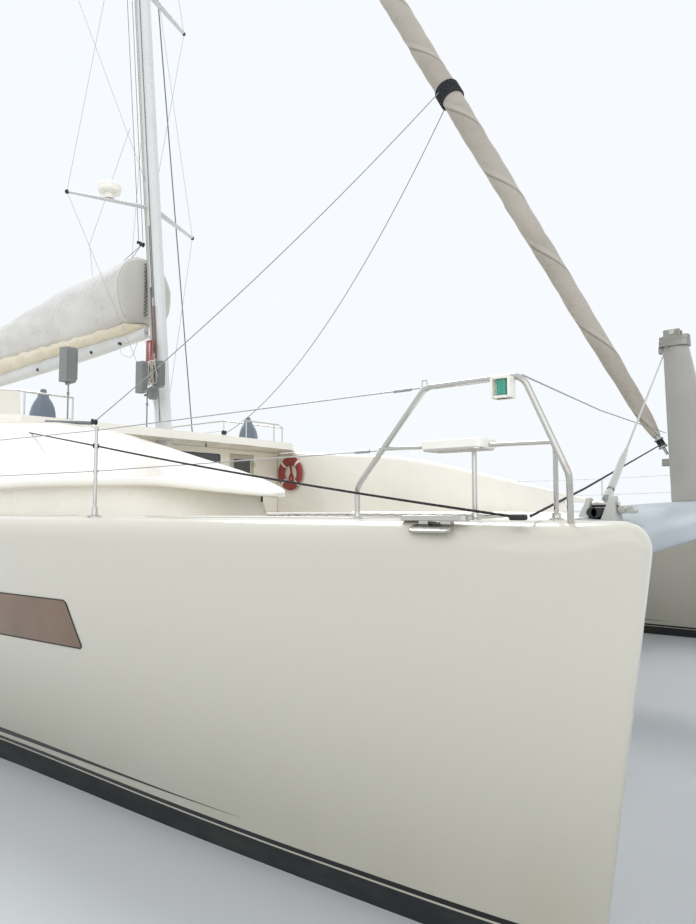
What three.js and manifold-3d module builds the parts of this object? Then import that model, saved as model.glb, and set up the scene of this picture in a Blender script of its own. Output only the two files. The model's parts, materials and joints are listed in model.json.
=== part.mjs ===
// Sailing catamaran, 23 m long, at full size, in millimetres.
// X runs forward, Y to port, Z up. The origin is amidships on the waterline.
import * as THREE from "three";
import { mergeVertices } from "three/addons/utils/BufferGeometryUtils.js";
import Module from "manifold-3d";

const wasm = await Module();
wasm.setup();

// Driving dimensions
const LENGTH = 23000;
const HULL_Y = 4800;
const DECK_Z = 2050;
const SOLE_Z = 1400;
const ROOF_UNDER = 3400;
const ROOF_TOP = 3550;
const MAST_X = 1495;
const MAST_RAKE = Math.tan(THREE.MathUtils.degToRad(6.2));
const MAST_TOP = 25100;
const GAP = 0.3;
const BOW = LENGTH / 2;
const STERN = -LENGTH / 2;

// Sides of the boat: the sign of Y and the ending of each node's name
const SIDES = [
  { side: 1, word: "port" },
  { side: -1, word: "starboard" },
];

const finish = (color, roughness, metalness = 0) =>
  new THREE.MeshStandardMaterial({ color, roughness, metalness });
const FINISHES = {
  gelcoat: finish(0xf2f0ea, 0.2),
  deck: finish(0xe6e4de, 0.5),
  glass: finish(0x14181c, 0.05),
  alloy: finish(0xd9dbdc, 0.35, 0.6),
  steel: finish(0xb9bcbf, 0.2, 1),
  canvas: finish(0x9a948c, 0.85),
  cover: finish(0x7d8894, 0.85),
  netting: finish(0xd2d0c8, 0.9),
  beam: finish(0xaab4bf, 0.45),
  black: finish(0x1c1d1f, 0.5),
  orange: finish(0xd04a2a, 0.6),
  bronze: finish(0x8c6a36, 0.35, 1),
  antifouling: finish(0x17191b, 0.8),
  cushion: finish(0xc9c4b8, 0.9),
  teak: finish(0x9b7b55, 0.7),
};

// Solids and meshes
const v3 = (p) => new THREE.Vector3(...p);

function toSolid(geometry) {
  const loose = geometry.index ? geometry.toNonIndexed() : geometry;
  const bare = new THREE.BufferGeometry();
  bare.setAttribute("position", loose.getAttribute("position"));
  const merged = mergeVertices(bare, 0.01);
  const index = merged.index.array;
  const place = merged.attributes.position;
  const corner = (i) => new THREE.Vector3().fromBufferAttribute(place, i);
  const faces = [];
  let volume = 0;
  for (let i = 0; i < index.length; i += 3) {
    const [a, b, c] = [index[i], index[i + 1], index[i + 2]];
    if (a !== b && b !== c && a !== c) {
      faces.push([a, b, c]);
      volume += corner(a).dot(corner(b).cross(corner(c)));
    }
  }
  // A profile or outline drawn the other way round gives faces that point inwards
  const outward = volume > 0 ? faces : faces.map(([a, b, c]) => [a, c, b]);
  return new wasm.Manifold(
    new wasm.Mesh({
      numProp: 3,
      vertProperties: place.array,
      triVerts: new Uint32Array(outward.flat()),
    }),
  );
}

const join = (solids) => solids.reduce((sum, next) => sum.add(next));
const cut = (solid, tools) => tools.reduce((rest, tool) => rest.subtract(tool), solid);

function toMesh(name, solid, material) {
  const { vertProperties, triVerts } = solid.getMesh();
  const geometry = new THREE.BufferGeometry();
  geometry.setAttribute("position", new THREE.BufferAttribute(vertProperties, 3));
  geometry.setIndex(new THREE.BufferAttribute(triVerts, 1));
  geometry.computeVertexNormals();
  const mesh = new THREE.Mesh(geometry, material);
  mesh.name = name;
  return mesh;
}

// A box from its lowest to its highest corner
function box([x0, y0, z0], [x1, y1, z1]) {
  const geometry = new THREE.BoxGeometry(x1 - x0, y1 - y0, z1 - z0);
  geometry.translate((x0 + x1) / 2, (y0 + y1) / 2, (z0 + z1) / 2);
  return toSolid(geometry);
}

// The same box on either side of the centreline, given by its inner and outer distance from it
const sideBox = (side, [x0, inner, z0], [x1, outer, z1]) =>
  side > 0 ? box([x0, inner, z0], [x1, outer, z1]) : box([x0, -outer, z0], [x1, -inner, z1]);

// A flat outline of [u, v] points pushed along the axis that is left: "x", "y" or "z"
const AXES = {
  x: new THREE.Matrix4().makeBasis(v3([0, 1, 0]), v3([0, 0, 1]), v3([1, 0, 0])),
  y: new THREE.Matrix4().makeBasis(v3([1, 0, 0]), v3([0, 0, 1]), v3([0, -1, 0])),
  z: new THREE.Matrix4(),
};

function prism(outline, axis, from, to) {
  const shape =
    outline instanceof THREE.Shape
      ? outline
      : new THREE.Shape(outline.map(([u, v]) => new THREE.Vector2(u, v)));
  const geometry = new THREE.ExtrudeGeometry(shape, {
    depth: to - from,
    bevelEnabled: false,
    curveSegments: 4,
  });
  geometry.applyMatrix4(AXES[axis]);
  const shift = { x: [from, 0, 0], y: [0, to, 0], z: [0, 0, from] }[axis];
  geometry.translate(...shift);
  return toSolid(geometry);
}

// A rectangle with round corners, as a shape for prism
function roundRect(u0, v0, u1, v1, radius) {
  const shape = new THREE.Shape();
  shape.moveTo(u0 + radius, v0);
  shape.lineTo(u1 - radius, v0);
  shape.absarc(u1 - radius, v0 + radius, radius, -Math.PI / 2, 0);
  shape.lineTo(u1, v1 - radius);
  shape.absarc(u1 - radius, v1 - radius, radius, 0, Math.PI / 2);
  shape.lineTo(u0 + radius, v1);
  shape.absarc(u0 + radius, v1 - radius, radius, Math.PI / 2, Math.PI);
  shape.lineTo(u0, v0 + radius);
  shape.absarc(u0 + radius, v0 + radius, radius, Math.PI, Math.PI * 1.5);
  return shape;
}

// A closed body through rings of points, each ring capped to its own middle at the two ends
function loft(rings) {
  const count = rings[0].length;
  const triangles = [];
  const middle = (ring) =>
    [0, 1, 2].map((axis) => ring.reduce((sum, point) => sum + point[axis], 0) / count);
  for (let i = 0; i + 1 < rings.length; i += 1) {
    for (let j = 0; j < count; j += 1) {
      const k = (j + 1) % count;
      triangles.push([rings[i][j], rings[i][k], rings[i + 1][k]]);
      triangles.push([rings[i][j], rings[i + 1][k], rings[i + 1][j]]);
    }
  }
  const first = rings[0];
  const last = rings[rings.length - 1];
  for (let j = 0; j < count; j += 1) {
    const k = (j + 1) % count;
    triangles.push([middle(first), first[k], first[j]]);
    triangles.push([middle(last), last[j], last[k]]);
  }
  const geometry = new THREE.BufferGeometry();
  geometry.setAttribute("position", new THREE.Float32BufferAttribute(triangles.flat(2), 3));
  return toSolid(geometry);
}

// A round bar from a to b, which may taper to another radius
function rod(a, b, radius, sides = 8, radiusAtB = radius) {
  const along = v3(b).sub(v3(a));
  const geometry = new THREE.CylinderGeometry(radiusAtB, radius, along.length(), sides);
  const up = new THREE.Vector3(0, 1, 0);
  geometry.applyQuaternion(
    new THREE.Quaternion().setFromUnitVectors(up, along.clone().normalize()),
  );
  const centre = v3(a).add(v3(b)).multiplyScalar(0.5);
  geometry.translate(centre.x, centre.y, centre.z);
  return toSolid(geometry);
}

function ball(centre, radius) {
  const geometry = new THREE.SphereGeometry(radius, 8, 5);
  geometry.translate(...centre);
  return toSolid(geometry);
}

// Straight round bars through a list of points, with a ball at each bend
const pipe = (points, radius, sides = 8) =>
  join([
    ...points.slice(1).map((point, i) => rod(points[i], point, radius, sides)),
    ...points.slice(1, -1).map((point) => ball(point, radius * 1.04)),
  ]);

// A profile of [radius, height] points turned about a vertical axis that stands at `foot`
function turned(profile, foot, sides = 16) {
  const points = profile.map(([radius, height]) => new THREE.Vector2(radius, height));
  const geometry = new THREE.LatheGeometry(points, sides);
  geometry.rotateX(Math.PI / 2);
  geometry.translate(...foot);
  return toSolid(geometry);
}

const boat = new THREE.Group();
const put = (name, solid, material) => boat.add(toMesh(name, solid, material));

// Hulls. waterX and deckX place a section at the waterline and at the deck; halfDeck and
// halfWater are its half widths there, and depth is its draught below the waterline.
const STATIONS = [
  { waterX: STERN, deckX: STERN, halfDeck: 1000, halfWater: 820, depth: 160 },
  { waterX: -9500, deckX: -9500, halfDeck: 1080, halfWater: 870, depth: 330 },
  { waterX: -6000, deckX: -6000, halfDeck: 1120, halfWater: 900, depth: 560 },
  { waterX: -2000, deckX: -2000, halfDeck: 1120, halfWater: 880, depth: 680 },
  { waterX: 2000, deckX: 2000, halfDeck: 1060, halfWater: 740, depth: 700 },
  { waterX: 4500, deckX: 4500, halfDeck: 900, halfWater: 520, depth: 650 },
  { waterX: 6500, deckX: 6500, halfDeck: 740, halfWater: 365, depth: 570 },
  { waterX: 8600, deckX: 8650, halfDeck: 540, halfWater: 262, depth: 460 },
  { waterX: 9970, deckX: 10080, halfDeck: 370, halfWater: 165, depth: 340 },
  { waterX: 10845, deckX: 11040, halfDeck: 215, halfWater: 85, depth: 220 },
  { waterX: 11135, deckX: 11400, halfDeck: 115, halfWater: 40, depth: 140 },
  { waterX: 11218, deckX: BOW, halfDeck: 55, halfWater: 18, depth: 90 },
];
const GUNWALE = 150;
const STEM_ROUND = 130;

// Half of a hull section, from the keel up: [half width, height]
function hullSection({ halfDeck, halfWater, depth }, grow) {
  const flare = halfDeck - halfWater;
  const round = Math.min(GUNWALE, halfDeck * 0.8);
  return [
    [halfWater * 0.5, -depth * 0.93],
    [halfWater * 0.85, -depth * 0.62],
    [halfWater * 0.98, -depth * 0.25],
    [halfWater + flare * 0.06, DECK_Z * 0.05],
    [halfWater + flare * 0.42, DECK_Z * 0.25],
    [halfWater + flare * 0.8, DECK_Z * 0.6],
    [halfDeck, DECK_Z - round],
    [halfDeck - round * 0.076, DECK_Z - round * 0.617],
    [halfDeck - round * 0.293, DECK_Z - round * 0.293],
    [halfDeck - round * 0.617, DECK_Z - round * 0.076],
    [halfDeck - round, DECK_Z],
  ].map(([half, z]) => [half + grow, z]);
}

function hullBody(side, grow = 0) {
  const rings = STATIONS.map((station) => {
    const half = hullSection(station, grow);
    const lean = (station.deckX - station.waterX) / DECK_Z;
    const place = (offset, z) => [station.waterX + lean * z, side * HULL_Y + offset, z];
    return [
      place(0, -station.depth - grow),
      ...half.map(([offset, z]) => place(offset, z)),
      place(0, DECK_Z),
      ...half.reverse().map(([offset, z]) => place(-offset, z)),
    ];
  });
  return loft(rings);
}

// The stem's top corner is rounded in side view
function stemRounding() {
  const shape = new THREE.Shape();
  const [aft, far] = [BOW - 900, BOW + 400];
  shape.moveTo(aft, DECK_Z + 100);
  shape.lineTo(aft, DECK_Z - GAP);
  shape.lineTo(BOW - 15 - STEM_ROUND, DECK_Z - GAP);
  shape.absarc(BOW - 15 - STEM_ROUND, DECK_Z - STEM_ROUND, STEM_ROUND, Math.PI / 2, 0, true);
  shape.lineTo(BOW + 40, DECK_Z - STEM_ROUND);
  shape.lineTo(far, DECK_Z - STEM_ROUND);
  shape.lineTo(far, DECK_Z + 100);
  return prism(shape, "y", -HULL_Y - 600, HULL_Y + 600);
}

// Low keel under each hull, moulded with it
const KEEL = { aft: -2600, fore: 1600, footAft: -2100, footFore: 900, half: 140, foot: -1600 };

function keelBody(side) {
  const wing = (x0, x1, half, z) => {
    const middle = (x0 + x1) / 2;
    const y = side * HULL_Y;
    return [
      [x0, y, z],
      [middle, y + half, z],
      [x1 - (x1 - x0) * 0.12, y + half * 0.7, z],
      [x1, y, z],
      [x1 - (x1 - x0) * 0.12, y - half * 0.7, z],
      [middle, y - half, z],
    ];
  };
  return loft([
    wing(KEEL.aft, KEEL.fore, KEEL.half, -450),
    wing(KEEL.footAft, KEEL.footFore, KEEL.half * 0.8, KEEL.foot),
  ]);
}

// Steps down to the water in each stern: how far forward each step runs, and its height
const STEPS = [
  { from: -10900, top: 430 },
  { from: -10550, top: 700 },
  { from: -10200, top: 970 },
  { from: -9850, top: 1240 },
  { from: -9500, top: 1510 },
  { from: -9150, top: 1780 },
];
const STEP_HALF = 700;

// Engine bay under the aft deck of each hull, and the drive that hangs below it
const BAY = { aft: -8450, fore: -6950, half: 430, floor: 250 };
const ENGINE = { aft: -8250, fore: -7250, half: 300, bottom: BAY.floor + GAP, top: 1050 };
const DRIVE = { aft: -8080, fore: -7800, half: 55, foot: -1050, shaftZ: -800 };
const HATCH = { aft: -8550, fore: -6850, half: 520, thick: 45 };

// Rudders, hung under each stern on a vertical stock
const RUDDER = { x: -10350, top: -330, foot: -1500, chordTop: 700, chordFoot: 480, half: 45 };
const STOCK = { radius: 32, top: 60, sides: 16, clearance: 0.6 };

// The bearing in the hull that the stock turns in: its flats clear the stock's corners
const stockBore = (side) =>
  rod(
    [RUDDER.x, side * HULL_Y, -500],
    [RUDDER.x, side * HULL_Y, STOCK.top + 0.4],
    (STOCK.radius + STOCK.clearance) / Math.cos(Math.PI / STOCK.sides),
    STOCK.sides,
  );

for (const { side, word } of SIDES) {
  const y = side * HULL_Y;
  const steps = STEPS.map(({ from, top }) =>
    box([STERN - 100, y - STEP_HALF, top], [from, y + STEP_HALF, DECK_Z + 300]),
  );
  const bay = box([BAY.aft, y - BAY.half, BAY.floor], [BAY.fore, y + BAY.half, DECK_Z + 100]);
  const well = box(
    [DRIVE.aft - 8, y - DRIVE.half - 8, -1200],
    [DRIVE.fore + 8, y + DRIVE.half + 8, BAY.floor + 20],
  );
  const lidSeat = box(
    [HATCH.aft - 6, y - HATCH.half - 6, DECK_Z - HATCH.thick + 5],
    [HATCH.fore + 6, y + HATCH.half + 6, DECK_Z + 100],
  );
  const tools = [stemRounding(), ...steps, bay, well, lidSeat, stockBore(side)];
  const whole = cut(hullBody(side), tools);
  put(`hull_${word}`, whole.add(keelBody(side)), FINISHES.gelcoat);

  const drive = join([
    box([ENGINE.aft, y - ENGINE.half, ENGINE.bottom], [ENGINE.fore, y + ENGINE.half, ENGINE.top]),
    box([DRIVE.aft, y - DRIVE.half, DRIVE.foot], [DRIVE.fore, y + DRIVE.half, ENGINE.bottom + 10]),
    rod([DRIVE.aft - 180, y, DRIVE.shaftZ], [DRIVE.fore + 60, y, DRIVE.shaftZ], 85, 12),
  ]);
  put(`engine_and_drive_${word}`, drive, FINISHES.antifouling);

  const lid = prism(
    roundRect(HATCH.aft, y - HATCH.half, HATCH.fore, y + HATCH.half, 60),
    "z",
    DECK_Z - HATCH.thick + 5 + GAP,
    DECK_Z + 5,
  );
  put(`engine_hatch_${word}`, lid, FINISHES.deck);
}

// Propellers, aft of each drive: a hub and three blades
const PROPELLER = { hubAft: -8430, hubFore: -8260.5, hub: 70, radius: 260, blades: 3 };

for (const { side, word } of SIDES) {
  const y = side * HULL_Y;
  const hub = rod(
    [PROPELLER.hubFore, y, DRIVE.shaftZ],
    [PROPELLER.hubAft, y, DRIVE.shaftZ],
    PROPELLER.hub,
    12,
    45,
  );
  const blades = Array.from({ length: PROPELLER.blades }, (_, i) => {
    const blade = new THREE.CylinderGeometry(95, 60, PROPELLER.radius - 40, 10);
    blade.scale(1, 1, 0.14);
    blade.rotateY(THREE.MathUtils.degToRad(55));
    blade.translate(0, (PROPELLER.radius + 40) / 2, 0);
    blade.rotateX((i * 2 * Math.PI) / PROPELLER.blades);
    blade.translate((PROPELLER.hubAft + PROPELLER.hubFore) / 2, y, DRIVE.shaftZ);
    return toSolid(blade);
  });
  put(`propeller_${word}`, join([hub, ...blades]), FINISHES.bronze);
}

for (const { side, word } of SIDES) {
  const y = side * HULL_Y;
  const blade = (z, chord) => {
    const nose = RUDDER.x + chord * 0.3;
    return [
      [nose, y, z],
      [nose - chord * 0.12, y + RUDDER.half * 0.8, z],
      [nose - chord * 0.35, y + RUDDER.half, z],
      [nose - chord, y, z],
      [nose - chord * 0.35, y - RUDDER.half, z],
      [nose - chord * 0.12, y - RUDDER.half * 0.8, z],
    ];
  };
  const body = join([
    loft([blade(RUDDER.top, RUDDER.chordTop), blade(RUDDER.foot, RUDDER.chordFoot)]),
    rod([RUDDER.x, y, RUDDER.top - 60], [RUDDER.x, y, STOCK.top], STOCK.radius, STOCK.sides),
  ]);
  put(`rudder_${word}`, body, FINISHES.antifouling);
}

// Bridgedeck: the wing between the hulls, with the foredeck, the saloon sole and the cockpit
const WING = { aft: -10900, front: 6200, half: 3900, under: 850, stern: 950 };
const HOUSE = { aft: -6600, front: 1000, inner: 3400 };
const ALCOVE = { aft: 740, half: 330, wall: 40 };

function bridgedeck() {
  const side = prism(
    [
      [WING.aft, WING.stern],
      [-3000, WING.under],
      [4200, WING.under],
      [5700, 1500],
      [WING.front, 1800],
      [WING.front, DECK_Z],
      [ALCOVE.aft - 60, DECK_Z],
      [ALCOVE.aft - 60, SOLE_Z],
      [WING.aft, SOLE_Z],
    ],
    "y",
    -WING.half,
    WING.half,
  );
  const foredeck = prism(
    [
      [HOUSE.front, -4700],
      [8100, -4700],
      [8050, -3900],
      [7500, -3300],
      [6700, -2700],
      [WING.front, -1500],
      [WING.front, 1500],
      [6700, 2700],
      [7500, 3300],
      [8050, 3900],
      [8100, 4700],
      [HOUSE.front, 4700],
    ],
    "z",
    1780,
    DECK_Z,
  );
  const hulls = SIDES.map(({ side: sign }) => hullBody(sign, GAP));
  return cut(side.add(foredeck), hulls);
}
put("bridgedeck", bridgedeck(), FINISHES.deck);

// Coachroofs over the hulls: the lip is the outer edge, the crest the inner one
const COACHROOF = [
  { x: HOUSE.front, inner: 3400, outer: 5100, crest: ROOF_UNDER - DECK_Z - GAP },
  { x: 1500, inner: 3400, outer: 5095, crest: ROOF_UNDER - DECK_Z - GAP },
  { x: 2000, inner: 3400, outer: 5090, crest: 1315 },
  { x: 3000, inner: 3400, outer: 5075, crest: 1240 },
  { x: 4000, inner: 3400, outer: 5045, crest: 1155 },
  { x: 5000, inner: 3400, outer: 4990, crest: 1005 },
  { x: 6000, inner: 3400, outer: 4880, crest: 775 },
  { x: 6800, inner: 3410, outer: 4720, crest: 570 },
  { x: 7400, inner: 3440, outer: 4450, crest: 420 },
  { x: 7750, inner: 3500, outer: 4180, crest: 335 },
  { x: 8080, inner: 3620, outer: 3850, crest: 285 },
];
const LIP = 200;
const LIP_DEPTH = 70;
const RECESS = 160;

function coachroof(side) {
  const rings = COACHROOF.map(({ x, inner, outer, crest }) => {
    const width = outer - inner;
    const recess = Math.min(RECESS, width * 0.3);
    const rise = crest - LIP - LIP_DEPTH;
    const shell = (share, height) => [inner + width * share, LIP + LIP_DEPTH + rise * height];
    const section = [
      [inner, GAP],
      [inner, crest - 90 * Math.min(1, rise / 400)],
      shell(0.03, 0.985),
      shell(0.1, 1),
      shell(0.4, 0.74),
      shell(0.75, 0.34),
      [outer - width * 0.02, LIP + LIP_DEPTH],
      [outer, LIP + LIP_DEPTH / 2],
      [outer - width * 0.02, LIP],
      [outer - recess, LIP - 10],
      [outer - recess, GAP],
    ];
    return section.map(([y, z]) => [x, side * y, DECK_Z + z]);
  });
  return loft(rings);
}
for (const { side, word } of SIDES) put(`coachroof_${word}`, coachroof(side), FINISHES.gelcoat);

// Deckhouse sides: a sloping wall on a low recessed one, with three windows cut in each
const SLOPE = { foot: 4880, lipY: 5100, lipZ: DECK_Z + LIP, top: HOUSE.inner, wall: 76 };
const SIDE_WINDOWS = [
  { from: -5900, to: -3900 },
  { from: -3700, to: -1500 },
  { from: -1300, to: 600 },
];
const WINDOW_Y = [3640, 4640];
const slopeZ = (y) => {
  const lip = { y: SLOPE.lipY - 40, z: SLOPE.lipZ + LIP_DEPTH };
  const head = { y: SLOPE.top + 80, z: ROOF_UNDER - GAP };
  return lip.z + ((head.z - lip.z) * (lip.y - y)) / (lip.y - head.y);
};

for (const { side, word } of SIDES) {
  const mirrored = (points) => points.map(([y, z]) => [side * y, z]);
  const wall = prism(
    mirrored([
      [SLOPE.foot, DECK_Z + GAP],
      [SLOPE.foot + 60, DECK_Z + GAP],
      [SLOPE.foot + 60, SLOPE.lipZ - 10],
      [SLOPE.lipY - 40, SLOPE.lipZ],
      [SLOPE.lipY, SLOPE.lipZ + LIP_DEPTH / 2],
      [SLOPE.lipY - 40, SLOPE.lipZ + LIP_DEPTH],
      [SLOPE.top + 80, ROOF_UNDER - GAP],
      [SLOPE.top, ROOF_UNDER - GAP],
      [SLOPE.top, slopeZ(SLOPE.top) - SLOPE.wall],
      [SLOPE.foot, slopeZ(SLOPE.foot) - SLOPE.wall],
    ]),
    "x",
    HOUSE.aft,
    HOUSE.front - GAP,
  );
  const windows = SIDE_WINDOWS.map(({ from, to }) =>
    prism(
      mirrored([
        [WINDOW_Y[1], slopeZ(WINDOW_Y[1]) - 200],
        [WINDOW_Y[1], slopeZ(WINDOW_Y[1]) + 200],
        [WINDOW_Y[0], slopeZ(WINDOW_Y[0]) + 200],
        [WINDOW_Y[0], slopeZ(WINDOW_Y[0]) - 200],
      ]),
      "x",
      from,
      to,
    ),
  );
  put(`deckhouse_side_${word}`, cut(wall, windows), FINISHES.gelcoat);

  const pane = prism(
    mirrored([
      [WINDOW_Y[1] + 60, slopeZ(WINDOW_Y[1] + 60) + GAP],
      [WINDOW_Y[1] + 60, slopeZ(WINDOW_Y[1] + 60) + 12],
      [WINDOW_Y[0] - 60, slopeZ(WINDOW_Y[0] - 60) + 12],
      [WINDOW_Y[0] - 60, slopeZ(WINDOW_Y[0] - 60) + GAP],
    ]),
    "x",
    SIDE_WINDOWS[0].from - 60,
    SIDE_WINDOWS[2].to + 60,
  );
  put(`side_glass_${word}`, pane, FINISHES.glass);
}

// Deckhouse front, with the alcove that the mast stands in, two windows and a doorway
const FRONT = { wall: 60, windowIn: 650, windowOut: 1640, windowLow: 2600, windowTop: 3240 };
const FRONT_DOOR = { from: 1950, to: 2650, sill: 2110, top: 3300 };
const SPARE_WINDOW = { from: -2650, to: -1950 };

function deckhouseFront() {
  const wall = box(
    [HOUSE.front - FRONT.wall, -HOUSE.inner + GAP, DECK_Z + GAP],
    [HOUSE.front, HOUSE.inner - GAP, ROOF_UNDER - GAP],
  );
  const [half, thick] = [ALCOVE.half, ALCOVE.wall];
  const niche = box(
    [ALCOVE.aft - thick, -half - thick, DECK_Z + GAP],
    [HOUSE.front, half + thick, ROOF_UNDER - GAP],
  );
  const hollow = box(
    [ALCOVE.aft, -half, DECK_Z - 10],
    [HOUSE.front + 50, half, ROOF_UNDER + 50],
  );
  const hole = (from, to, low, top) =>
    box([HOUSE.front - 200, from, low], [HOUSE.front + 50, to, top]);
  return cut(wall.add(niche), [
    hollow,
    hole(FRONT.windowIn, FRONT.windowOut, FRONT.windowLow, FRONT.windowTop),
    hole(-FRONT.windowOut, -FRONT.windowIn, FRONT.windowLow, FRONT.windowTop),
    hole(SPARE_WINDOW.from, SPARE_WINDOW.to, FRONT.windowLow, FRONT.windowTop),
    hole(FRONT_DOOR.from, FRONT_DOOR.to, FRONT_DOOR.sill, FRONT_DOOR.top),
  ]);
}
put("deckhouse_front", deckhouseFront(), FINISHES.gelcoat);

const frontPane = (from, to) =>
  box(
    [HOUSE.front + GAP, from, FRONT.windowLow - 30],
    [HOUSE.front + 10, to, FRONT.windowTop + 30],
  );
put("front_glass_port", frontPane(FRONT.windowIn - 30, FRONT.windowOut + 30), FINISHES.glass);
put(
  "front_glass_starboard",
  frontPane(SPARE_WINDOW.from - 30, -FRONT.windowIn + 30),
  FINISHES.glass,
);

// Front door, hinged on its outboard edge and opening forward on two knuckles
const DOOR_HINGE = {
  x: HOUSE.front + 14.5,
  y: FRONT_DOOR.to + 6,
  radius: 14,
  heights: [2300, 3050],
};
const frontDoor = join([
  box(
    [HOUSE.front - FRONT.wall, FRONT_DOOR.from + 8, FRONT_DOOR.sill + 8],
    [HOUSE.front - 15, FRONT_DOOR.to - 8, FRONT_DOOR.top - 8],
  ),
  ...DOOR_HINGE.heights.flatMap((z) => [
    rod([DOOR_HINGE.x, DOOR_HINGE.y, z], [DOOR_HINGE.x, DOOR_HINGE.y, z + 90], DOOR_HINGE.radius),
    box([DOOR_HINGE.x - 6, FRONT_DOOR.to - 60, z], [DOOR_HINGE.x + 6, DOOR_HINGE.y, z + 90]),
    box([HOUSE.front - 20, FRONT_DOOR.to - 60, z], [DOOR_HINGE.x, FRONT_DOOR.to - 40, z + 90]),
  ]),
]);
put("front_door", frontDoor, FINISHES.gelcoat);

// Deckhouse aft wall with the opening for the sliding door and a fixed window
const AFT = { wall: 60, doorFrom: -1500, doorTo: 0, doorTop: 3280, paneTo: 1500, paneLow: 2300, half: 3560 };
const TRACK = { low: 3345, high: 3375, out: 60, from: -3200, to: 100 };

function deckhouseAft() {
  const outline = [
    [-AFT.half, SOLE_Z + GAP],
    [AFT.half, SOLE_Z + GAP],
    [AFT.half, DECK_Z + GAP],
    [SLOPE.foot - 1, DECK_Z + GAP],
    [SLOPE.foot - 1, slopeZ(SLOPE.foot) - SLOPE.wall - 1],
    [SLOPE.top - 1, slopeZ(SLOPE.top) - SLOPE.wall - 1],
    [SLOPE.top - 1, ROOF_UNDER - GAP],
    [-SLOPE.top + 1, ROOF_UNDER - GAP],
    [-SLOPE.top + 1, slopeZ(SLOPE.top) - SLOPE.wall - 1],
    [-SLOPE.foot + 1, slopeZ(SLOPE.foot) - SLOPE.wall - 1],
    [-SLOPE.foot + 1, DECK_Z + GAP],
    [-AFT.half, DECK_Z + GAP],
  ];
  const wall = prism(outline, "x", HOUSE.aft, HOUSE.aft + AFT.wall);
  const hole = (from, to, low) =>
    box([HOUSE.aft - 50, from, low], [HOUSE.aft + AFT.wall + 50, to, AFT.doorTop]);
  const track = box(
    [HOUSE.aft - TRACK.out, TRACK.from, TRACK.low],
    [HOUSE.aft + 10, TRACK.to, TRACK.high],
  );
  return cut(wall.add(track), [
    hole(AFT.doorFrom, AFT.doorTo, SOLE_Z + 60),
    hole(AFT.doorTo + 120, AFT.paneTo, AFT.paneLow),
  ]);
}
put("deckhouse_aft", deckhouseAft(), FINISHES.gelcoat);

const aftPane = box(
  [HOUSE.aft + AFT.wall + GAP, AFT.doorTo + 90, AFT.paneLow - 30],
  [HOUSE.aft + AFT.wall + 10, AFT.paneTo + 30, AFT.doorTop + 30],
);
put("aft_glass", aftPane, FINISHES.glass);

// Sliding door, on the cockpit side of the aft wall
const slidingDoor = join([
  box(
    [HOUSE.aft - 45, AFT.doorFrom - 40, SOLE_Z + 10],
    [HOUSE.aft - 5.5, AFT.doorTo + 40, AFT.doorTop + 40],
  ),
  box(
    [HOUSE.aft - 45, AFT.doorFrom + 100, AFT.doorTop + 30],
    [HOUSE.aft - 20, AFT.doorTo - 100, TRACK.low - 0.5],
  ),
]);
put("sliding_door", slidingDoor, FINISHES.glass);

// Roof: the flybridge deck with its low coaming, which reaches aft over the cockpit
const ROOF = { aft: -9400, front: 1950, half: 3480, coaming: 280, coamingWall: 60 };
const FLYBRIDGE = { aft: -9300, front: -900, half: 3300 };
const mastX = (z) => MAST_X - MAST_RAKE * (z - DECK_Z);
const MAST_HALF = { fore: 190, side: 125 };

function ellipse(cx, cy, halfX, halfY, count = 16) {
  return Array.from({ length: count }, (_, i) => {
    const angle = (i * 2 * Math.PI) / count;
    return [cx + halfX * Math.cos(angle), cy + halfY * Math.sin(angle)];
  });
}

function roof() {
  const plate = prism(
    [
      [ROOF.aft + 300, -ROOF.half],
      [ROOF.front - 500, -ROOF.half],
      [ROOF.front - 100, -ROOF.half + 500],
      [ROOF.front, -1500],
      [ROOF.front, 1500],
      [ROOF.front - 100, ROOF.half - 500],
      [ROOF.front - 500, ROOF.half],
      [ROOF.aft + 300, ROOF.half],
      [ROOF.aft, ROOF.half - 300],
      [ROOF.aft, -ROOF.half + 300],
    ],
    "z",
    ROOF_UNDER,
    ROOF_TOP,
  );
  const rim = box(
    [FLYBRIDGE.aft, -FLYBRIDGE.half, ROOF_TOP - 10],
    [FLYBRIDGE.front, FLYBRIDGE.half, ROOF_TOP + ROOF.coaming],
  );
  const inside = box(
    [FLYBRIDGE.aft - 100, -FLYBRIDGE.half + ROOF.coamingWall, ROOF_TOP],
    [
      FLYBRIDGE.front - ROOF.coamingWall,
      FLYBRIDGE.half - ROOF.coamingWall,
      ROOF_TOP + ROOF.coaming + 100,
    ],
  );
  const middle = mastX((ROOF_UNDER + ROOF_TOP) / 2);
  const mastHole = prism(
    ellipse(middle, 0, MAST_HALF.fore + 25, MAST_HALF.side + 25),
    "z",
    ROOF_UNDER - 100,
    ROOF_TOP + 100,
  );
  return cut(plate.add(rim.subtract(inside)), [mastHole]);
}
put("roof", roof(), FINISHES.deck);

// Posts that carry the roof's aft end, standing on the side decks
const POST = { x: -9000, y: 3420 };
for (const { side, word } of SIDES) {
  const y = side * POST.y;
  const outline = roundRect(POST.x - 110, y - 40, POST.x + 110, y + 40, 35);
  const body = prism(outline, "z", SOLE_Z + GAP, ROOF_UNDER - GAP);
  put(`roof_post_${word}`, body, FINISHES.gelcoat);
}

// Crossbeam between the bows, a thin arched wing. Columns: distance from the centre, top of it
const BEAM = { aft: 10270, fore: 11370, thick: 230 };
const BEAM_ARCH = [
  { y: 4750, top: 2040 },
  { y: 3600, top: 2085 },
  { y: 2000, top: 2150 },
  { y: 0, top: 2190 },
];

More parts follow.
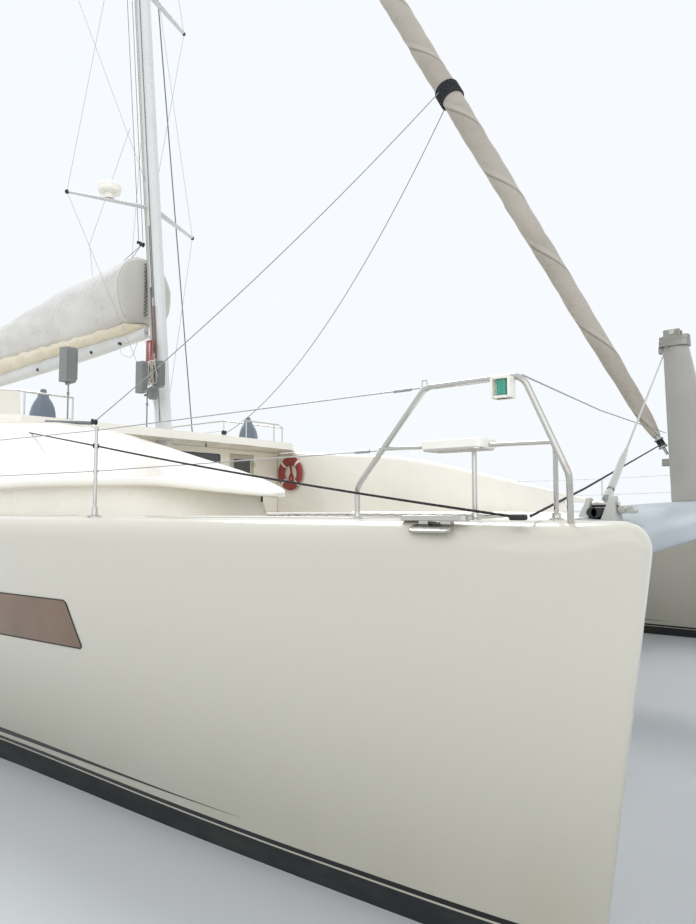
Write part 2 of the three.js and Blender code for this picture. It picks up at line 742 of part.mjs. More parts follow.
function crossbeam() {
  const section = ({ y, top }) => {
    const middle = (BEAM.aft + BEAM.fore) / 2;
    const half = (BEAM.fore - BEAM.aft) / 2;
    return Array.from({ length: 14 }, (_, i) => {
      const angle = (i * 2 * Math.PI) / 14;
      const [c, s] = [Math.cos(angle), Math.sin(angle)];
      const flat = Math.sign(s) * Math.sqrt(Math.abs(s));
      return [middle + half * c, y, top - BEAM.thick / 2 + (BEAM.thick / 2) * flat];
    });
  };
  const port = BEAM_ARCH.map(section);
  const starboard = BEAM_ARCH.slice(0, -1)
    .reverse()
    .map(({ y, top }) => section({ y: -y, top }));
  const hulls = SIDES.map(({ side }) => hullBody(side, GAP));
  return cut(loft([...port, ...starboard]), hulls);
}
put("crossbeam", crossbeam(), FINISHES.beam);

// Walkway along the centreline from the foredeck to the crossbeam
const WALKWAY = { half: 360, low: 1930, top: 2075 };
const walkway = prism(
  roundRect(-WALKWAY.half, WALKWAY.low, WALKWAY.half, WALKWAY.top, 50),
  "x",
  WING.front + GAP,
  BEAM.aft + 60,
).subtract(crossbeamCutter());
put("walkway", walkway, FINISHES.deck);

// What the walkway leaves free for the rounded aft edge of the crossbeam
function crossbeamCutter() {
  const top = BEAM_ARCH[BEAM_ARCH.length - 1].top;
  return box([BEAM.aft - GAP, -600, top - BEAM.thick - 5], [BEAM.fore, 600, top + 5]);
}

// Trampolines between the hulls and the walkway
const NET = {
  fore: BEAM.aft - 40,
  low: 2010,
  top: 2024,
  inner: WALKWAY.half + 60,
  tabs: [6500, 7400, 8300, 9200, 10000],
};
for (const { side, word } of SIDES) {
  const outline = [
    [WING.front + 60, NET.inner],
    [WING.front + 60, 1500],
    [6740, 2640],
    [7560, 3250],
    [8120, 3860],
    [8180, 4150],
    [NET.fore, 4360],
    [NET.fore, NET.inner],
  ].map(([x, y]) => [x, side * y]);
  const tabs = NET.tabs.map((x) =>
    sideBox(side, [x, WALKWAY.half + 0.5, NET.low], [x + 80, NET.inner + 20, NET.top]),
  );
  const sheet = prism(outline, "z", NET.low, NET.top);
  put(`trampoline_${word}`, join([sheet, ...tabs]), FINISHES.netting);
}

// Striker: the post on the crossbeam, its cap, and the two stays down to the bows
const STRIKER = { aftFoot: 10365, foreFoot: 10880, aftTop: 10315, foreTop: 10550, top: 3950 };

function striker() {
  const ring = (aft, fore, half, z) => [
    [aft, -half * 0.6, z],
    [aft + (fore - aft) * 0.3, -half, z],
    [fore - (fore - aft) * 0.3, -half, z],
    [fore, -half * 0.6, z],
    [fore + 4, 0, z],
    [fore, half * 0.6, z],
    [fore - (fore - aft) * 0.3, half, z],
    [aft + (fore - aft) * 0.3, half, z],
    [aft, half * 0.6, z],
  ];
  const foot = BEAM_ARCH[BEAM_ARCH.length - 1].top - 1;
  const post = loft([
    ring(STRIKER.aftFoot, STRIKER.foreFoot, 135, foot),
    ring(STRIKER.aftTop, STRIKER.foreTop, 72, STRIKER.top),
  ]);
  const cap = box(
    [STRIKER.aftTop - 60, -95, STRIKER.top - 20],
    [STRIKER.foreTop + 40, 95, STRIKER.top + 30],
  );
  const lug = box([STRIKER.aftFoot - 110, -30, 2570], [STRIKER.aftFoot + 100, 30, 2650]);
  const stays = SIDES.map(({ side }) =>
    rod([11115, side * 4240, 2110], [STRIKER.aftTop + 60, side * 60, STRIKER.top - 90], 12, 8),
  );
  return join([post, cap, lug, ...stays]);
}
put("striker", striker(), FINISHES.alloy);

// Boom, hinged at the gooseneck, a fork on the mast's aft side that its pin turns in
const BOOM = { hingeX: 830, z: 5585, aft: -8000, pin: 90 };

// Mast with two pairs of swept spreaders and the gooseneck's fork
const SPREADERS = [
  { z: 8080, span: 1470, sweep: 620 },
  { z: 13000, span: 1480, sweep: 520 },
];

const TAPER = { from: 20500, share: 0.62 };
const TANG_Z = 23500;
const TANG_REACH = -560;
const mastShare = (z) =>
  1 - ((1 - TAPER.share) * Math.max(0, z - TAPER.from)) / (MAST_TOP - TAPER.from);

function mast() {
  const ring = (z) => {
    const share = mastShare(z);
    const outline = ellipse(mastX(z), 0, MAST_HALF.fore * share, MAST_HALF.side * share);
    return outline.map(([x, y]) => [x, y, z]);
  };
  const tube = loft([ring(DECK_Z + GAP), ring(TAPER.from), ring(MAST_TOP)]);
  const arms = SPREADERS.flatMap(({ z, span, sweep }) =>
    SIDES.map(({ side }) => {
      const blade = (share, chord) => {
        const x = mastX(z) - sweep * share;
        const y = side * span * share;
        return [
          [x + chord, y, z],
          [x, y, z + 28],
          [x - chord, y, z],
          [x, y, z - 28],
        ];
      };
      return loft([blade(0.04, 90), blade(1, 45)]);
    }),
  );
  const fork = [1, -1].map((up) => {
    const inner = BOOM.z + up * (BOOM.pin + 0.5);
    const outer = inner + up * 30;
    const [low, high] = [Math.min(inner, outer), Math.max(inner, outer)];
    return box([BOOM.hingeX - 60, -60, low], [mastX(BOOM.z) - MAST_HALF.fore + 40, 60, high]);
  });
  const tang = box([mastX(TANG_Z), -15, TANG_Z], [TANG_REACH, 15, TANG_Z + 80]);
  return join([tube, ...arms, ...fork, tang]);
}
put("mast", mast(), FINISHES.alloy);

// Radar dome on the starboard lower spreader
const RADAR = { share: 0.52, radius: 220 };
const radarFoot = [
  mastX(SPREADERS[0].z) - SPREADERS[0].sweep * RADAR.share,
  -SPREADERS[0].span * RADAR.share,
  SPREADERS[0].z + 28 + GAP,
];
const radar = turned(
  [
    [0, 0],
    [90, 0],
    [90, 90],
    [RADAR.radius - 20, 110],
    [RADAR.radius, 150],
    [RADAR.radius, 260],
    [RADAR.radius - 50, 300],
    [0, 320],
  ],
  radarFoot,
);
put("radar_dome", radar, FINISHES.gelcoat);

// Boom sections. Columns: place along it, half width, half height, and the height of its middle
const BOOM_SECTIONS = [
  { x: BOOM.hingeX - 110, half: 90, tall: 115, z: BOOM.z },
  { x: -1500, half: 130, tall: 155, z: 5503 },
  { x: BOOM.aft, half: 110, tall: 150, z: 5300 },
];
const boomTop = (x) => {
  const [fore, middle, aft] = BOOM_SECTIONS;
  const [a, b] = x > middle.x ? [fore, middle] : [middle, aft];
  return a.z + a.tall + ((b.z + b.tall - a.z - a.tall) * (a.x - x)) / (a.x - b.x);
};
const boomBody = join([
  loft(
    BOOM_SECTIONS.map(({ x, half, tall, z: middle }) =>
      ellipse(0, middle, half, tall, 12).map(([y, z]) => [x, y, z]),
    ),
  ),
  rod([BOOM.hingeX, 0, BOOM.z - BOOM.pin], [BOOM.hingeX, 0, BOOM.z + BOOM.pin], 45, 12),
  box([BOOM.hingeX - 200, -30, BOOM.z - 40], [BOOM.hingeX, 30, BOOM.z + 40]),
]);
put("boom", boomBody, FINISHES.alloy);

// Sail bag, standing on the boom. Columns: place along the boom, top, half width and ridge width
const BAG = [
  { x: 710, top: 7080, half: 640, ridge: 250, shoulder: 0.95 },
  { x: 360, top: 7150, half: 620, ridge: 200, shoulder: 0.94 },
  { x: -500, top: 7150, half: 560, ridge: 160, shoulder: 0.91 },
  { x: -1500, top: 7150, half: 500, ridge: 135, shoulder: 0.88 },
  { x: -3150, top: 7010, half: 430, ridge: 115, shoulder: 0.85 },
  { x: -5600, top: 6720, half: 370, ridge: 100, shoulder: 0.85 },
  { x: -7400, top: 6470, half: 260, ridge: 80, shoulder: 0.85 },
];
const bag = loft(
  BAG.map(({ x, top, half, ridge, shoulder }) => {
    const low = boomTop(x) + GAP;
    const tall = top - low;
    const edge = [
      [half * 0.5, 0],
      [half * 0.94, 0.2],
      [half * shoulder, 0.55],
      [ridge * 1.6, 0.9],
      [ridge * 0.4, 1],
    ];
    const round = [...edge, ...edge.map(([y, share]) => [-y, share]).reverse()];
    return round.map(([y, share]) => [x, y, low + tall * share]);
  }),
);
put("sail_bag", bag, FINISHES.canvas);

// Headsail furled round the forestay, with the furler's drum at its foot
const STAY = { footX: 10230, footZ: 2880, slope: 0.5252 };
const stayPoint = (z) => [STAY.footX - STAY.slope * (z - STAY.footZ), 0, z];
const FURLED = [
  { z: 2900, radius: 45 },
  { z: 3200, radius: 85 },
  { z: 5500, radius: 125 },
  { z: 9000, radius: 155 },
  { z: 14000, radius: 130 },
  { z: 21500, radius: 70 },
  { z: 22200, radius: 35 },
];

function furledSail() {
  const lean = Math.atan(STAY.slope);
  const ring = ({ z, radius }) =>
    Array.from({ length: 14 }, (_, i) => {
      const angle = (i * 2 * Math.PI) / 14;
      const [u, v] = [radius * Math.cos(angle), radius * Math.sin(angle)];
      const [x, , height] = stayPoint(z);
      return [x + u * Math.cos(lean), v, height + u * Math.sin(lean)];
    });
  return join([
    loft(FURLED.map(ring)),
    rod(stayPoint(2700), stayPoint(2950), 16, 10),
    rod(stayPoint(2775), stayPoint(2790), 50, 16),
    rod(stayPoint(2788), stayPoint(2858), 34, 16),
    rod(stayPoint(2856), stayPoint(2871), 50, 16),
    rod(stayPoint(22150), stayPoint(TANG_Z - 5), 10, 8),
  ]);
}
put("furled_headsail", furledSail(), FINISHES.canvas);

// Cap shrouds from the mast down to the side decks
const SHROUD = { deckX: -4350, deckY: 5420, mastZ: 21500, radius: 9 };
for (const { side, word } of SIDES) {
  const head = MAST_HALF.side * mastShare(SHROUD.mastZ) + SHROUD.radius + 1;
  const body = join([
    rod(
      [mastX(SHROUD.mastZ), side * head, SHROUD.mastZ],
      [SHROUD.deckX, side * SHROUD.deckY, DECK_Z + 120],
      SHROUD.radius,
      8,
    ),
    rod(
      [SHROUD.deckX, side * SHROUD.deckY, DECK_Z + GAP],
      [SHROUD.deckX, side * SHROUD.deckY, DECK_Z + 140],
      22,
      8,
    ),
  ]);
  put(`shroud_${word}`, body, FINISHES.steel);
}

// Bow pulpits, with a seat on each
const PULPIT = { y: 4950, radius: 17, aft: 9960, fore: 11200, knee: 2230, top: 2745 };
for (const { side, word } of SIDES) {
  const y = side * PULPIT.y;
  const inner = side * (PULPIT.y - 170);
  const frame = pipe(
    [
      [PULPIT.aft, y, DECK_Z + GAP],
      [PULPIT.aft, y, PULPIT.knee],
      [10420, y, PULPIT.top],
      [10970, y, PULPIT.top],
      [PULPIT.fore, y, 2280],
      [PULPIT.fore - 30, y - side * 70, DECK_Z + 7],
    ],
    PULPIT.radius,
  );
  const middleRail = pipe(
    [
      [10150, y, 2440],
      [11105, y, 2440],
      [11080, y - side * 100, 2415],
      [11055, inner, DECK_Z + 5],
    ],
    13,
  );
  const seatPost = rod([10650, y - side * 100, DECK_Z + GAP], [10650, y - side * 100, 2410], 13);
  const seat = prism(roundRect(10465, y - 105, 10785, y + 105, 40), "z", 2402, 2456);
  put(`bow_pulpit_${word}`, join([frame, middleRail, seatPost, seat]), FINISHES.steel);
}

// Guard rails: stanchions along the deck edge, with two wires
const STANCHIONS = [7770, 6000, 4000, 2000, 0, -2000, -4000, -6000, -8000, -9100];
const RAIL = { high: 640, middle: 330, post: 13, wire: 4.5, in: 100 };

function halfDeckAt(x) {
  const after = STATIONS.findIndex((station) => station.deckX > x);
  const [a, b] = [STATIONS[after - 1], STATIONS[after]];
  return a.halfDeck + ((b.halfDeck - a.halfDeck) * (x - a.deckX)) / (b.deckX - a.deckX);
}

for (const { side, word } of SIDES) {
  const at = (x, z) => [x, side * (HULL_Y + halfDeckAt(x) - RAIL.in - GUNWALE * 0.4), DECK_Z + z];
  const posts = STANCHIONS.map((x) => rod(at(x, GAP), at(x, RAIL.high), RAIL.post));
  const wires = STANCHIONS.slice(1).flatMap((x, i) => [
    rod(at(STANCHIONS[i], RAIL.high - 10), at(x, RAIL.high - 10), RAIL.wire, 6),
    rod(at(STANCHIONS[i], RAIL.middle), at(x, RAIL.middle), RAIL.wire, 6),
  ]);
  // The wires run on forward and end a millimetre short of the pulpit's tube
  const pulpitY = side * PULPIT.y;
  const toPulpit = [
    rod(at(STANCHIONS[0], RAIL.high - 10), [10389, pulpitY + side * 4, PULPIT.top - 1], RAIL.wire, 6),
    rod(at(STANCHIONS[0], RAIL.middle), [10103, pulpitY + side * 4, 2425], RAIL.wire, 6),
  ];
  put(`guard_rail_${word}`, join([...posts, ...wires, ...toPulpit]), FINISHES.steel);
}

// Roof rails: low along the roof's front edge, higher along the flybridge
const ROOF_RAIL = { frontX: 1500, inner: 1950, low: 420, high: 750, y: 3400, riseX: -900 };
const RAIL_POSTS = [-900, -3000, -5000, -7000, -9000];

for (const { side, word } of SIDES) {
  const y = side * ROOF_RAIL.y;
  const [low, high] = [ROOF_TOP + ROOF_RAIL.low, ROOF_TOP + ROOF_RAIL.high];
  const corner = [ROOF_RAIL.frontX - 350, y, low];
  const path = [
    [ROOF_RAIL.frontX, side * ROOF_RAIL.inner, low],
    [ROOF_RAIL.frontX, side * 2900, low],
    corner,
    [ROOF_RAIL.riseX, y, high],
    [RAIL_POSTS[RAIL_POSTS.length - 1], y, high],
  ];
  const posts = [
    [ROOF_RAIL.frontX, side * ROOF_RAIL.inner, low],
    [ROOF_RAIL.frontX, side * 2770, low],
    corner,
    ...RAIL_POSTS.map((x) => [x, y, high]),
  ];
  const body = join([
    pipe(path, 16),
    ...posts.map(([x, py, top]) => rod([x, py, ROOF_TOP + GAP], [x, py, top], 14)),
  ]);
  put(`roof_rail_${word}`, body, FINISHES.steel);
}

// Helm on the flybridge: console, wheel and bench
const HELM = { x: -2600, y: -1500, wheelX: -2840, wheelZ: ROOF_TOP + 750, radius: 330 };
const helmConsole = prism(
  [
    [HELM.x - 150, ROOF_TOP + GAP],
    [HELM.x + 350, ROOF_TOP + GAP],
    [HELM.x + 250, ROOF_TOP + 1050],
    [HELM.x + 50, ROOF_TOP + 1050],
    [HELM.x - 150, ROOF_TOP + 900],
  ],
  "y",
  HELM.y - 500,
  HELM.y + 500,
);
const axle = rod([HELM.x - 100, HELM.y, HELM.wheelZ], [HELM.x - 200, HELM.y, HELM.wheelZ], 35, 12);
put("helm_console", helmConsole.add(axle), FINISHES.gelcoat);

function helmWheel() {
  const rim = new THREE.TorusGeometry(HELM.radius, 16, 8, 28);
  rim.rotateY(Math.PI / 2);
  rim.translate(HELM.wheelX, HELM.y, HELM.wheelZ);
  const hub = rod(
    [HELM.x - 200.5, HELM.y, HELM.wheelZ],
    [HELM.wheelX - 25, HELM.y, HELM.wheelZ],
    48,
    12,
  );
  const spokes = [0, 1, 2, 3, 4].map((i) => {
    const angle = (i * 2 * Math.PI) / 5;
    const [c, s] = [Math.cos(angle), Math.sin(angle)];
    return rod(
      [HELM.wheelX, HELM.y, HELM.wheelZ],
      [HELM.wheelX, HELM.y + HELM.radius * c, HELM.wheelZ + HELM.radius * s],
      9,
      6,
    );
  });
  return join([toSolid(rim), hub, ...spokes]);
}
put("helm_wheel", helmWheel(), FINISHES.steel);

// Benches: a moulded base and a cushion on it. Columns: lowest and highest corner of each base
const BENCHES = [
  {
    name: "flybridge_bench",
    low: [-7800, -2900, ROOF_TOP + GAP],
    high: [-4400, -2200, ROOF_TOP + 420],
  },
  {
    name: "cockpit_bench",
    low: [-9900, -2400, SOLE_Z + GAP],
    high: [-9250, 2400, SOLE_Z + 430],
  },
];
for (const { name, low, high } of BENCHES) {
  put(name, box(low, high), FINISHES.gelcoat);
  const cushion = box(
    [low[0] + 20, low[1] + 20, high[2] + GAP],
    [high[0] - 20, high[1] - 20, high[2] + 130],
  );
  put(name.replace("bench", "cushion"), cushion, FINISHES.cushion);
}

// Cockpit table on one leg
const table = join([
  prism(roundRect(-9000, -900, -8000, 900, 120), "z", SOLE_Z + 690, SOLE_Z + 730),
  box([-8650, -120, SOLE_Z + GAP], [-8350, 120, SOLE_Z + 700]),
]);
put("cockpit_table", table, FINISHES.teak);

// Winches under their covers, on the roof
for (const { side, word } of SIDES) {
  const body = turned(
    [
      [0, 0],
      [185, 0],
      [185, 60],
      [160, 300],
      [110, 470],
      [60, 530],
      [0, 545],
    ],
    [1180, side * 2300, ROOF_TOP + GAP],
  );
  put(`covered_winch_${word}`, body, FINISHES.cover);
}

// Loudspeakers under dark covers, each on a pole at the front of the roof. Columns: name, place
// across, half width
const SPEAKER = { x: 1790, half: 105, low: 4150, top: 4740 };
const SPEAKERS = [
  { word: "outer", y: -2200, across: 125 },
  { word: "inner", y: -640, across: 285 },
];
for (const { word, y, across } of SPEAKERS) {
  const { x, half, low, top } = SPEAKER;
  const body = join([
    prism(roundRect(x - half, y - across, x + half, y + across, 60), "z", low, top),
    rod([x, y, ROOF_TOP + GAP], [x, y, low + 20], 19, 10),
    rod([x, y, ROOF_TOP + GAP], [x, y, ROOF_TOP + 15], 90, 12),
  ]);
  put(`speaker_${word}`, body, FINISHES.black);
}

// Mooring cleats: a flat bar on a pedestal that is set on the round of the gunwale
const CLEAT = { x: 10510, y: 5040, half: 180, foot: 1930, low: 2042, top: 2068 };
for (const { side, word } of SIDES) {
  const y = side * CLEAT.y;
  const pedestal = box([CLEAT.x - 115, y - 45, CLEAT.foot], [CLEAT.x + 115, y + 45, CLEAT.low + 10]);
  const bar = box([CLEAT.x - CLEAT.half, y - 32, CLEAT.low], [CLEAT.x + CLEAT.half, y + 32, CLEAT.top]);
  const body = cut(pedestal.add(bar), [hullBody(side, GAP)]);
  put(`mooring_cleat_${word}`, body, FINISHES.steel);
}

// Lifebuoy on the inner wall of the port coachroof
const LIFEBUOY = { x: 1450, z: 2920, radius: 290, tube: 85 };
const buoy = new THREE.TorusGeometry(LIFEBUOY.radius, LIFEBUOY.tube, 10, 24);
buoy.scale(1, 1, 0.6);
buoy.rotateX(Math.PI / 2);
const buoyHalf = LIFEBUOY.tube * 0.6 * Math.sin(THREE.MathUtils.degToRad(72));
buoy.translate(LIFEBUOY.x, HOUSE.inner - buoyHalf - GAP, LIFEBUOY.z);
put("lifebuoy", toSolid(buoy), FINISHES.orange);

export default boat;
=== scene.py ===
"""Finish and fittings of a sailing catamaran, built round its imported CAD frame.

Metres throughout: X runs forward, Y to port and Z up, from amidships on the waterline.
"""

import json
import logging
import math
from collections.abc import Callable, Iterable, Sequence
from dataclasses import dataclass, field
from enum import Enum
from functools import cache
from typing import NamedTuple

import bmesh
import bpy
import numpy as np
from mathutils import Matrix, Vector

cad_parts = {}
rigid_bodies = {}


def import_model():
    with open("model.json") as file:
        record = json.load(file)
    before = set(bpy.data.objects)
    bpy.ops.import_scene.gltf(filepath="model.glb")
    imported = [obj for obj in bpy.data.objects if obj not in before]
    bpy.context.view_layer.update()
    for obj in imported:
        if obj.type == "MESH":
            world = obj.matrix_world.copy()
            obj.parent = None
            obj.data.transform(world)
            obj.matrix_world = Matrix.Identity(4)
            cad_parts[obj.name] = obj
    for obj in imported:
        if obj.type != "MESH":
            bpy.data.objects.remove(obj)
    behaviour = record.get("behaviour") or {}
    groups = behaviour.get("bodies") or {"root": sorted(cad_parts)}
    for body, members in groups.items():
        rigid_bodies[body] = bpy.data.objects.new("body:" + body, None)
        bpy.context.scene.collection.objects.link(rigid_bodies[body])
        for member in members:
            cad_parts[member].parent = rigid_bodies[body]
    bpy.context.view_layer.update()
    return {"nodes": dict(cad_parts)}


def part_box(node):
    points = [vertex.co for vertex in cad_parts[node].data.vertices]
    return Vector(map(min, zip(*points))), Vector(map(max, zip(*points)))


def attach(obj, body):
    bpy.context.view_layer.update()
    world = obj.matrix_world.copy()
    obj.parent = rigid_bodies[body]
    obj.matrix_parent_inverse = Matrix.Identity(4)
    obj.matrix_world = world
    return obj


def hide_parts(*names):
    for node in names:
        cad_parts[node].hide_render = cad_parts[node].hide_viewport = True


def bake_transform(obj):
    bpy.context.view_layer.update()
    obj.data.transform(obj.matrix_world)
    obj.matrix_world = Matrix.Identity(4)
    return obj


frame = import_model()

logging.basicConfig(level=logging.INFO, format="%(message)s")
log = logging.getLogger("catamaran")

Point = Sequence[float]
Colour = tuple[int, int, int]

# Sizes that the part's source gives too
HULL_Y = 4.8
DECK = 2.05
SOLE = 1.4
ROOF_UNDER = 3.4
ROOF_TOP = 3.55
MAST_X = 1.495
MAST_RAKE = math.tan(math.radians(6.2))
MAST_TOP = 25.1
MAST_FORE = 0.19
MAST_SIDE = 0.125
HOUSE_AFT = -6.6
HOUSE_FRONT = 1.0
PANEL = (-0.002, 0.004)


class Side(Enum):
    """The two sides of the boat, each with the sign of Y there."""

    PORT = 1
    STARBOARD = -1


SIDES = {side.name.lower(): side.value for side in Side}


def around(count: int) -> np.ndarray:
    """So many angles of a full turn, evenly spaced."""
    return np.linspace(0, math.tau, count, endpoint=False)


def held(number: float) -> float:
    """A number that is held between 0 and 1."""
    return float(np.clip(number, 0, 1))


def mast_x(z: float) -> float:
    """Where the middle of the raked mast stands at height z."""
    return MAST_X - MAST_RAKE * (z - DECK)


# Node trees


def operator(kind: str, swapped: bool = False) -> Callable[["Value", "Term"], "Value"]:
    """Makes one of Python's operators for a Value.

    Args:
        kind: The Math node that it adds.
        swapped: Whether this is the reflected form, with the value as the second term.

    Returns:
        The operator's method.
    """

    def apply(self: "Value", other: "Term") -> "Value":
        """Adds the node on both terms."""
        return self.tree.maths(kind, *((other, self) if swapped else (self, other)))

    return apply


class Value:
    """A number in a node tree, on which Python's operators add Math nodes."""

    def __init__(self, tree: "Tree", socket: bpy.types.NodeSocket) -> None:
        """Wraps one output socket of a tree."""
        self.tree = tree
        self.socket = socket

    __add__, __radd__ = operator("ADD"), operator("ADD", True)
    __sub__, __rsub__ = operator("SUBTRACT"), operator("SUBTRACT", True)
    __mul__, __rmul__ = operator("MULTIPLY"), operator("MULTIPLY", True)
    __truediv__, __rtruediv__ = operator("DIVIDE"), operator("DIVIDE", True)
    __mod__ = operator("FLOORED_MODULO")

    def __abs__(self) -> "Value":
        """The size of the number without its sign."""
        return self.tree.maths("ABSOLUTE", self)

    def sine(self) -> "Value":
        """The sine of an angle in radians."""
        return self.tree.maths("SINE", self)

    def angle(self, across: "Value") -> "Value":
        """The direction of the point (across, self), in radians."""
        return self.tree.maths("ARCTAN2", self, across)

    def most(self, other: "Term") -> "Value":
        """The larger of the two."""
        return self.tree.maths("MAXIMUM", self, other)

    def step(self, low: float, high: float) -> "Value":
        """Runs smoothly from 0 at low to 1 at high.

        Args:
            low: Where the result is 0.
            high: Where it is 1, which may lie below low.

        Returns:
            The eased share.
        """
        settings = {"interpolation_type": "SMOOTHSTEP"}
        values = {"Value": self, 1: low, 2: high}
        if high < low:
            values = {"Value": self, 1: high, 2: low, 3: 1.0, 4: 0.0}
        return Value(self.tree, self.tree.node("ShaderNodeMapRange", settings, values).outputs[0])

    def band(self, low: float, high: float, soft: float) -> "Value":
        """1 between low and high and 0 outside, with edges that are `soft` wide."""
        return self.step(low - soft, low) * self.step(high + soft, high)


Term = Value | float


class Tree:
    """A node tree under construction."""

    def __init__(self, tree: bpy.types.NodeTree) -> None:
        """Takes an empty node tree."""
        self.tree = tree

    def node(self, kind: str, settings: dict | None = None, values: dict | None = None) -> bpy.types.Node:
        """Adds one node.

        Args:
            kind: The node's type.
            settings: Its properties, set before its sockets are used.
            values: Input sockets by name or number, each with a value or a link.

        Returns:
            The new node.
        """
        made = self.tree.nodes.new(kind)
        for name, value in (settings or {}).items():
            setattr(made, name, value)
        for name, value in (values or {}).items():
            self.feed(made.inputs[name], value)
        return made

    def feed(self, socket: bpy.types.NodeSocket, value: object) -> None:
        """Links a value's socket to an input, or sets the input to a plain value."""
        if isinstance(value, Value):
            value = value.socket
        if isinstance(value, bpy.types.NodeSocket):
            self.tree.links.new(value, socket)
        else:
            socket.default_value = value

    def maths(self, operation: str, *terms: Term) -> Value:
        """Adds a Math node on one or two terms."""
        values = dict(enumerate(terms))
        return Value(self, self.node("ShaderNodeMath", {"operation": operation}, values).outputs[0])


def linear(colour: Colour) -> tuple[float, float, float, float]:
    """A colour of 0 to 255 as the renderer's linear one."""
    shares = [channel / 255 for channel in colour]
    return (*(c / 12.92 if c < 0.04 else ((c + 0.055) / 1.055) ** 2.4 for c in shares), 1.0)


class Shader(Tree):
    """A material in the making: its coordinates, patterns and surface."""

    def __init__(self, name: str) -> None:
        """Starts a material with a Principled surface and object coordinates."""
        self.material = bpy.data.materials.new(name)
        self.material.use_nodes = True
        super().__init__(self.material.node_tree)
        self.tree.nodes.clear()
        self.surface = self.node("ShaderNodeBsdfPrincipled")
        self.node("ShaderNodeOutputMaterial", values={"Surface": self.surface.outputs[0]})
        self.place = self.node("ShaderNodeTexCoord").outputs["Object"]
        split = self.node("ShaderNodeSeparateXYZ", values={0: self.place})
        self.x, self.y, self.z = (Value(self, socket) for socket in split.outputs)

    def stretched(self, stretch: Point) -> bpy.types.NodeSocket:
        """The object coordinates, each multiplied by its share of stretch."""
        values = {0: self.place, 1: tuple(stretch)}
        return self.node("ShaderNodeVectorMath", {"operation": "MULTIPLY"}, values).outputs[0]

    def noise(self, scale: float, detail: float = 3.0, stretch: Point = (1, 1, 1)) -> Value:
        """Cloudy noise of about 0.3 to 0.7.

        Args:
            scale: Spots to the metre.
            detail: Octaves of finer noise.
            stretch: How much each coordinate counts.

        Returns:
            The noise.
        """
        values = {"Vector": self.stretched(stretch), "Scale": scale, "Detail": detail}
        return Value(self, self.node("ShaderNodeTexNoise", values=values).outputs[0])

    def cells(self, scale: float, stretch: Point = (1, 1, 1)) -> Value:
        """Distance from the middle of the nearest of many cells."""
        values = {"Vector": self.stretched(stretch), "Scale": scale}
        return Value(self, self.node("ShaderNodeTexVoronoi", values=values).outputs[0])

    def along(self) -> Value:
        """Length along a swept bar or rope, in metres."""
        made = self.node("ShaderNodeAttribute", {"attribute_name": "along"})
        return Value(self, made.outputs["Fac"])

    def mix(self, amount: Term, first: object, second: object) -> bpy.types.NodeSocket:
        """Mixes two colours, each a Colour or a socket, by an amount of 0 to 1."""
        shades = [linear(shade) if isinstance(shade, tuple) else shade for shade in (first, second)]
        values = {0: amount, 6: shades[0], 7: shades[1]}
        return self.node("ShaderNodeMix", {"data_type": "RGBA"}, values).outputs[2]

    def relief(self, height: Value, depth: float) -> None:
        """Raises the surface by a height of 0 to 1, which stands for depth in metres."""
        made = self.node("ShaderNodeBump", values={"Height": height, "Distance": depth})
        self.feed(self.surface.inputs["Normal"], made.outputs[0])

    def put(self, **sockets: object) -> None:
        """Feeds the surface's sockets, named in lower case with underscores."""
        for name, value in sockets.items():
            socket = self.surface.inputs[name.replace("_", " ").title().replace("Ior", "IOR")]
            self.feed(socket, linear(value) if isinstance(value, tuple) else value)


# Finishes


@dataclass(frozen=True)
class Finish:
    """What every finish has: its name, its slot in the record, its colour and its roughness."""

    name: str
    slot: str | None
    colour: Colour
    rough: float = 0.5

    def paint(self, shader: Shader) -> None:
        """Builds the material's nodes."""
        raise NotImplementedError


@cache
def material(finish: Finish) -> bpy.types.Material:
    """The material of a finish, made once."""
    shader = Shader(finish.name)
    finish.paint(shader)
    return shader.material


@dataclass(frozen=True)
class Moulded(Finish):
    """Moulded and polished fibreglass, with a faint haze, run-down streaks and orange peel; a low colour,
    where given, is painted shade towards the waterline.
    """

    rough: float = 0.2
    stain: Colour = (196, 190, 176)
    stained: float = 0.16
    coat: float = 0.35
    # painted shade: the colour that the surface darkens to towards the waterline
    low: Colour | None = None

    def base(self, shader: Shader) -> bpy.types.NodeSocket:
        """The plain colour with its haze and streaks, and painted shade towards the waterline where a low
        colour is given.
        """
        haze = shader.noise(0.8, 4)
        streaks = shader.noise(5, 3, (1, 1, 0.12))
        amount = (haze * 0.75 + streaks * 0.25).step(0.42, 0.72) * self.stained
        # painted shade: from 1.9 m down to 0.1 m the colour runs to the low colour
        upper = self.colour if self.low is None else shader.mix(
            shader.z.step(1.9, 0.1), self.colour, self.low
        )
        return shader.mix(amount, upper, self.stain)

    def paint(self, shader: Shader) -> None:
        """Haze and streaks over a glossy coat."""
        shader.put(base_color=self.base(shader), coat_weight=self.coat, coat_roughness=0.08)
        shader.put(roughness=shader.noise(1.5, 3) * 0.12 + (self.rough - 0.06))
        shader.relief(shader.noise(120, 2), 0.0004)


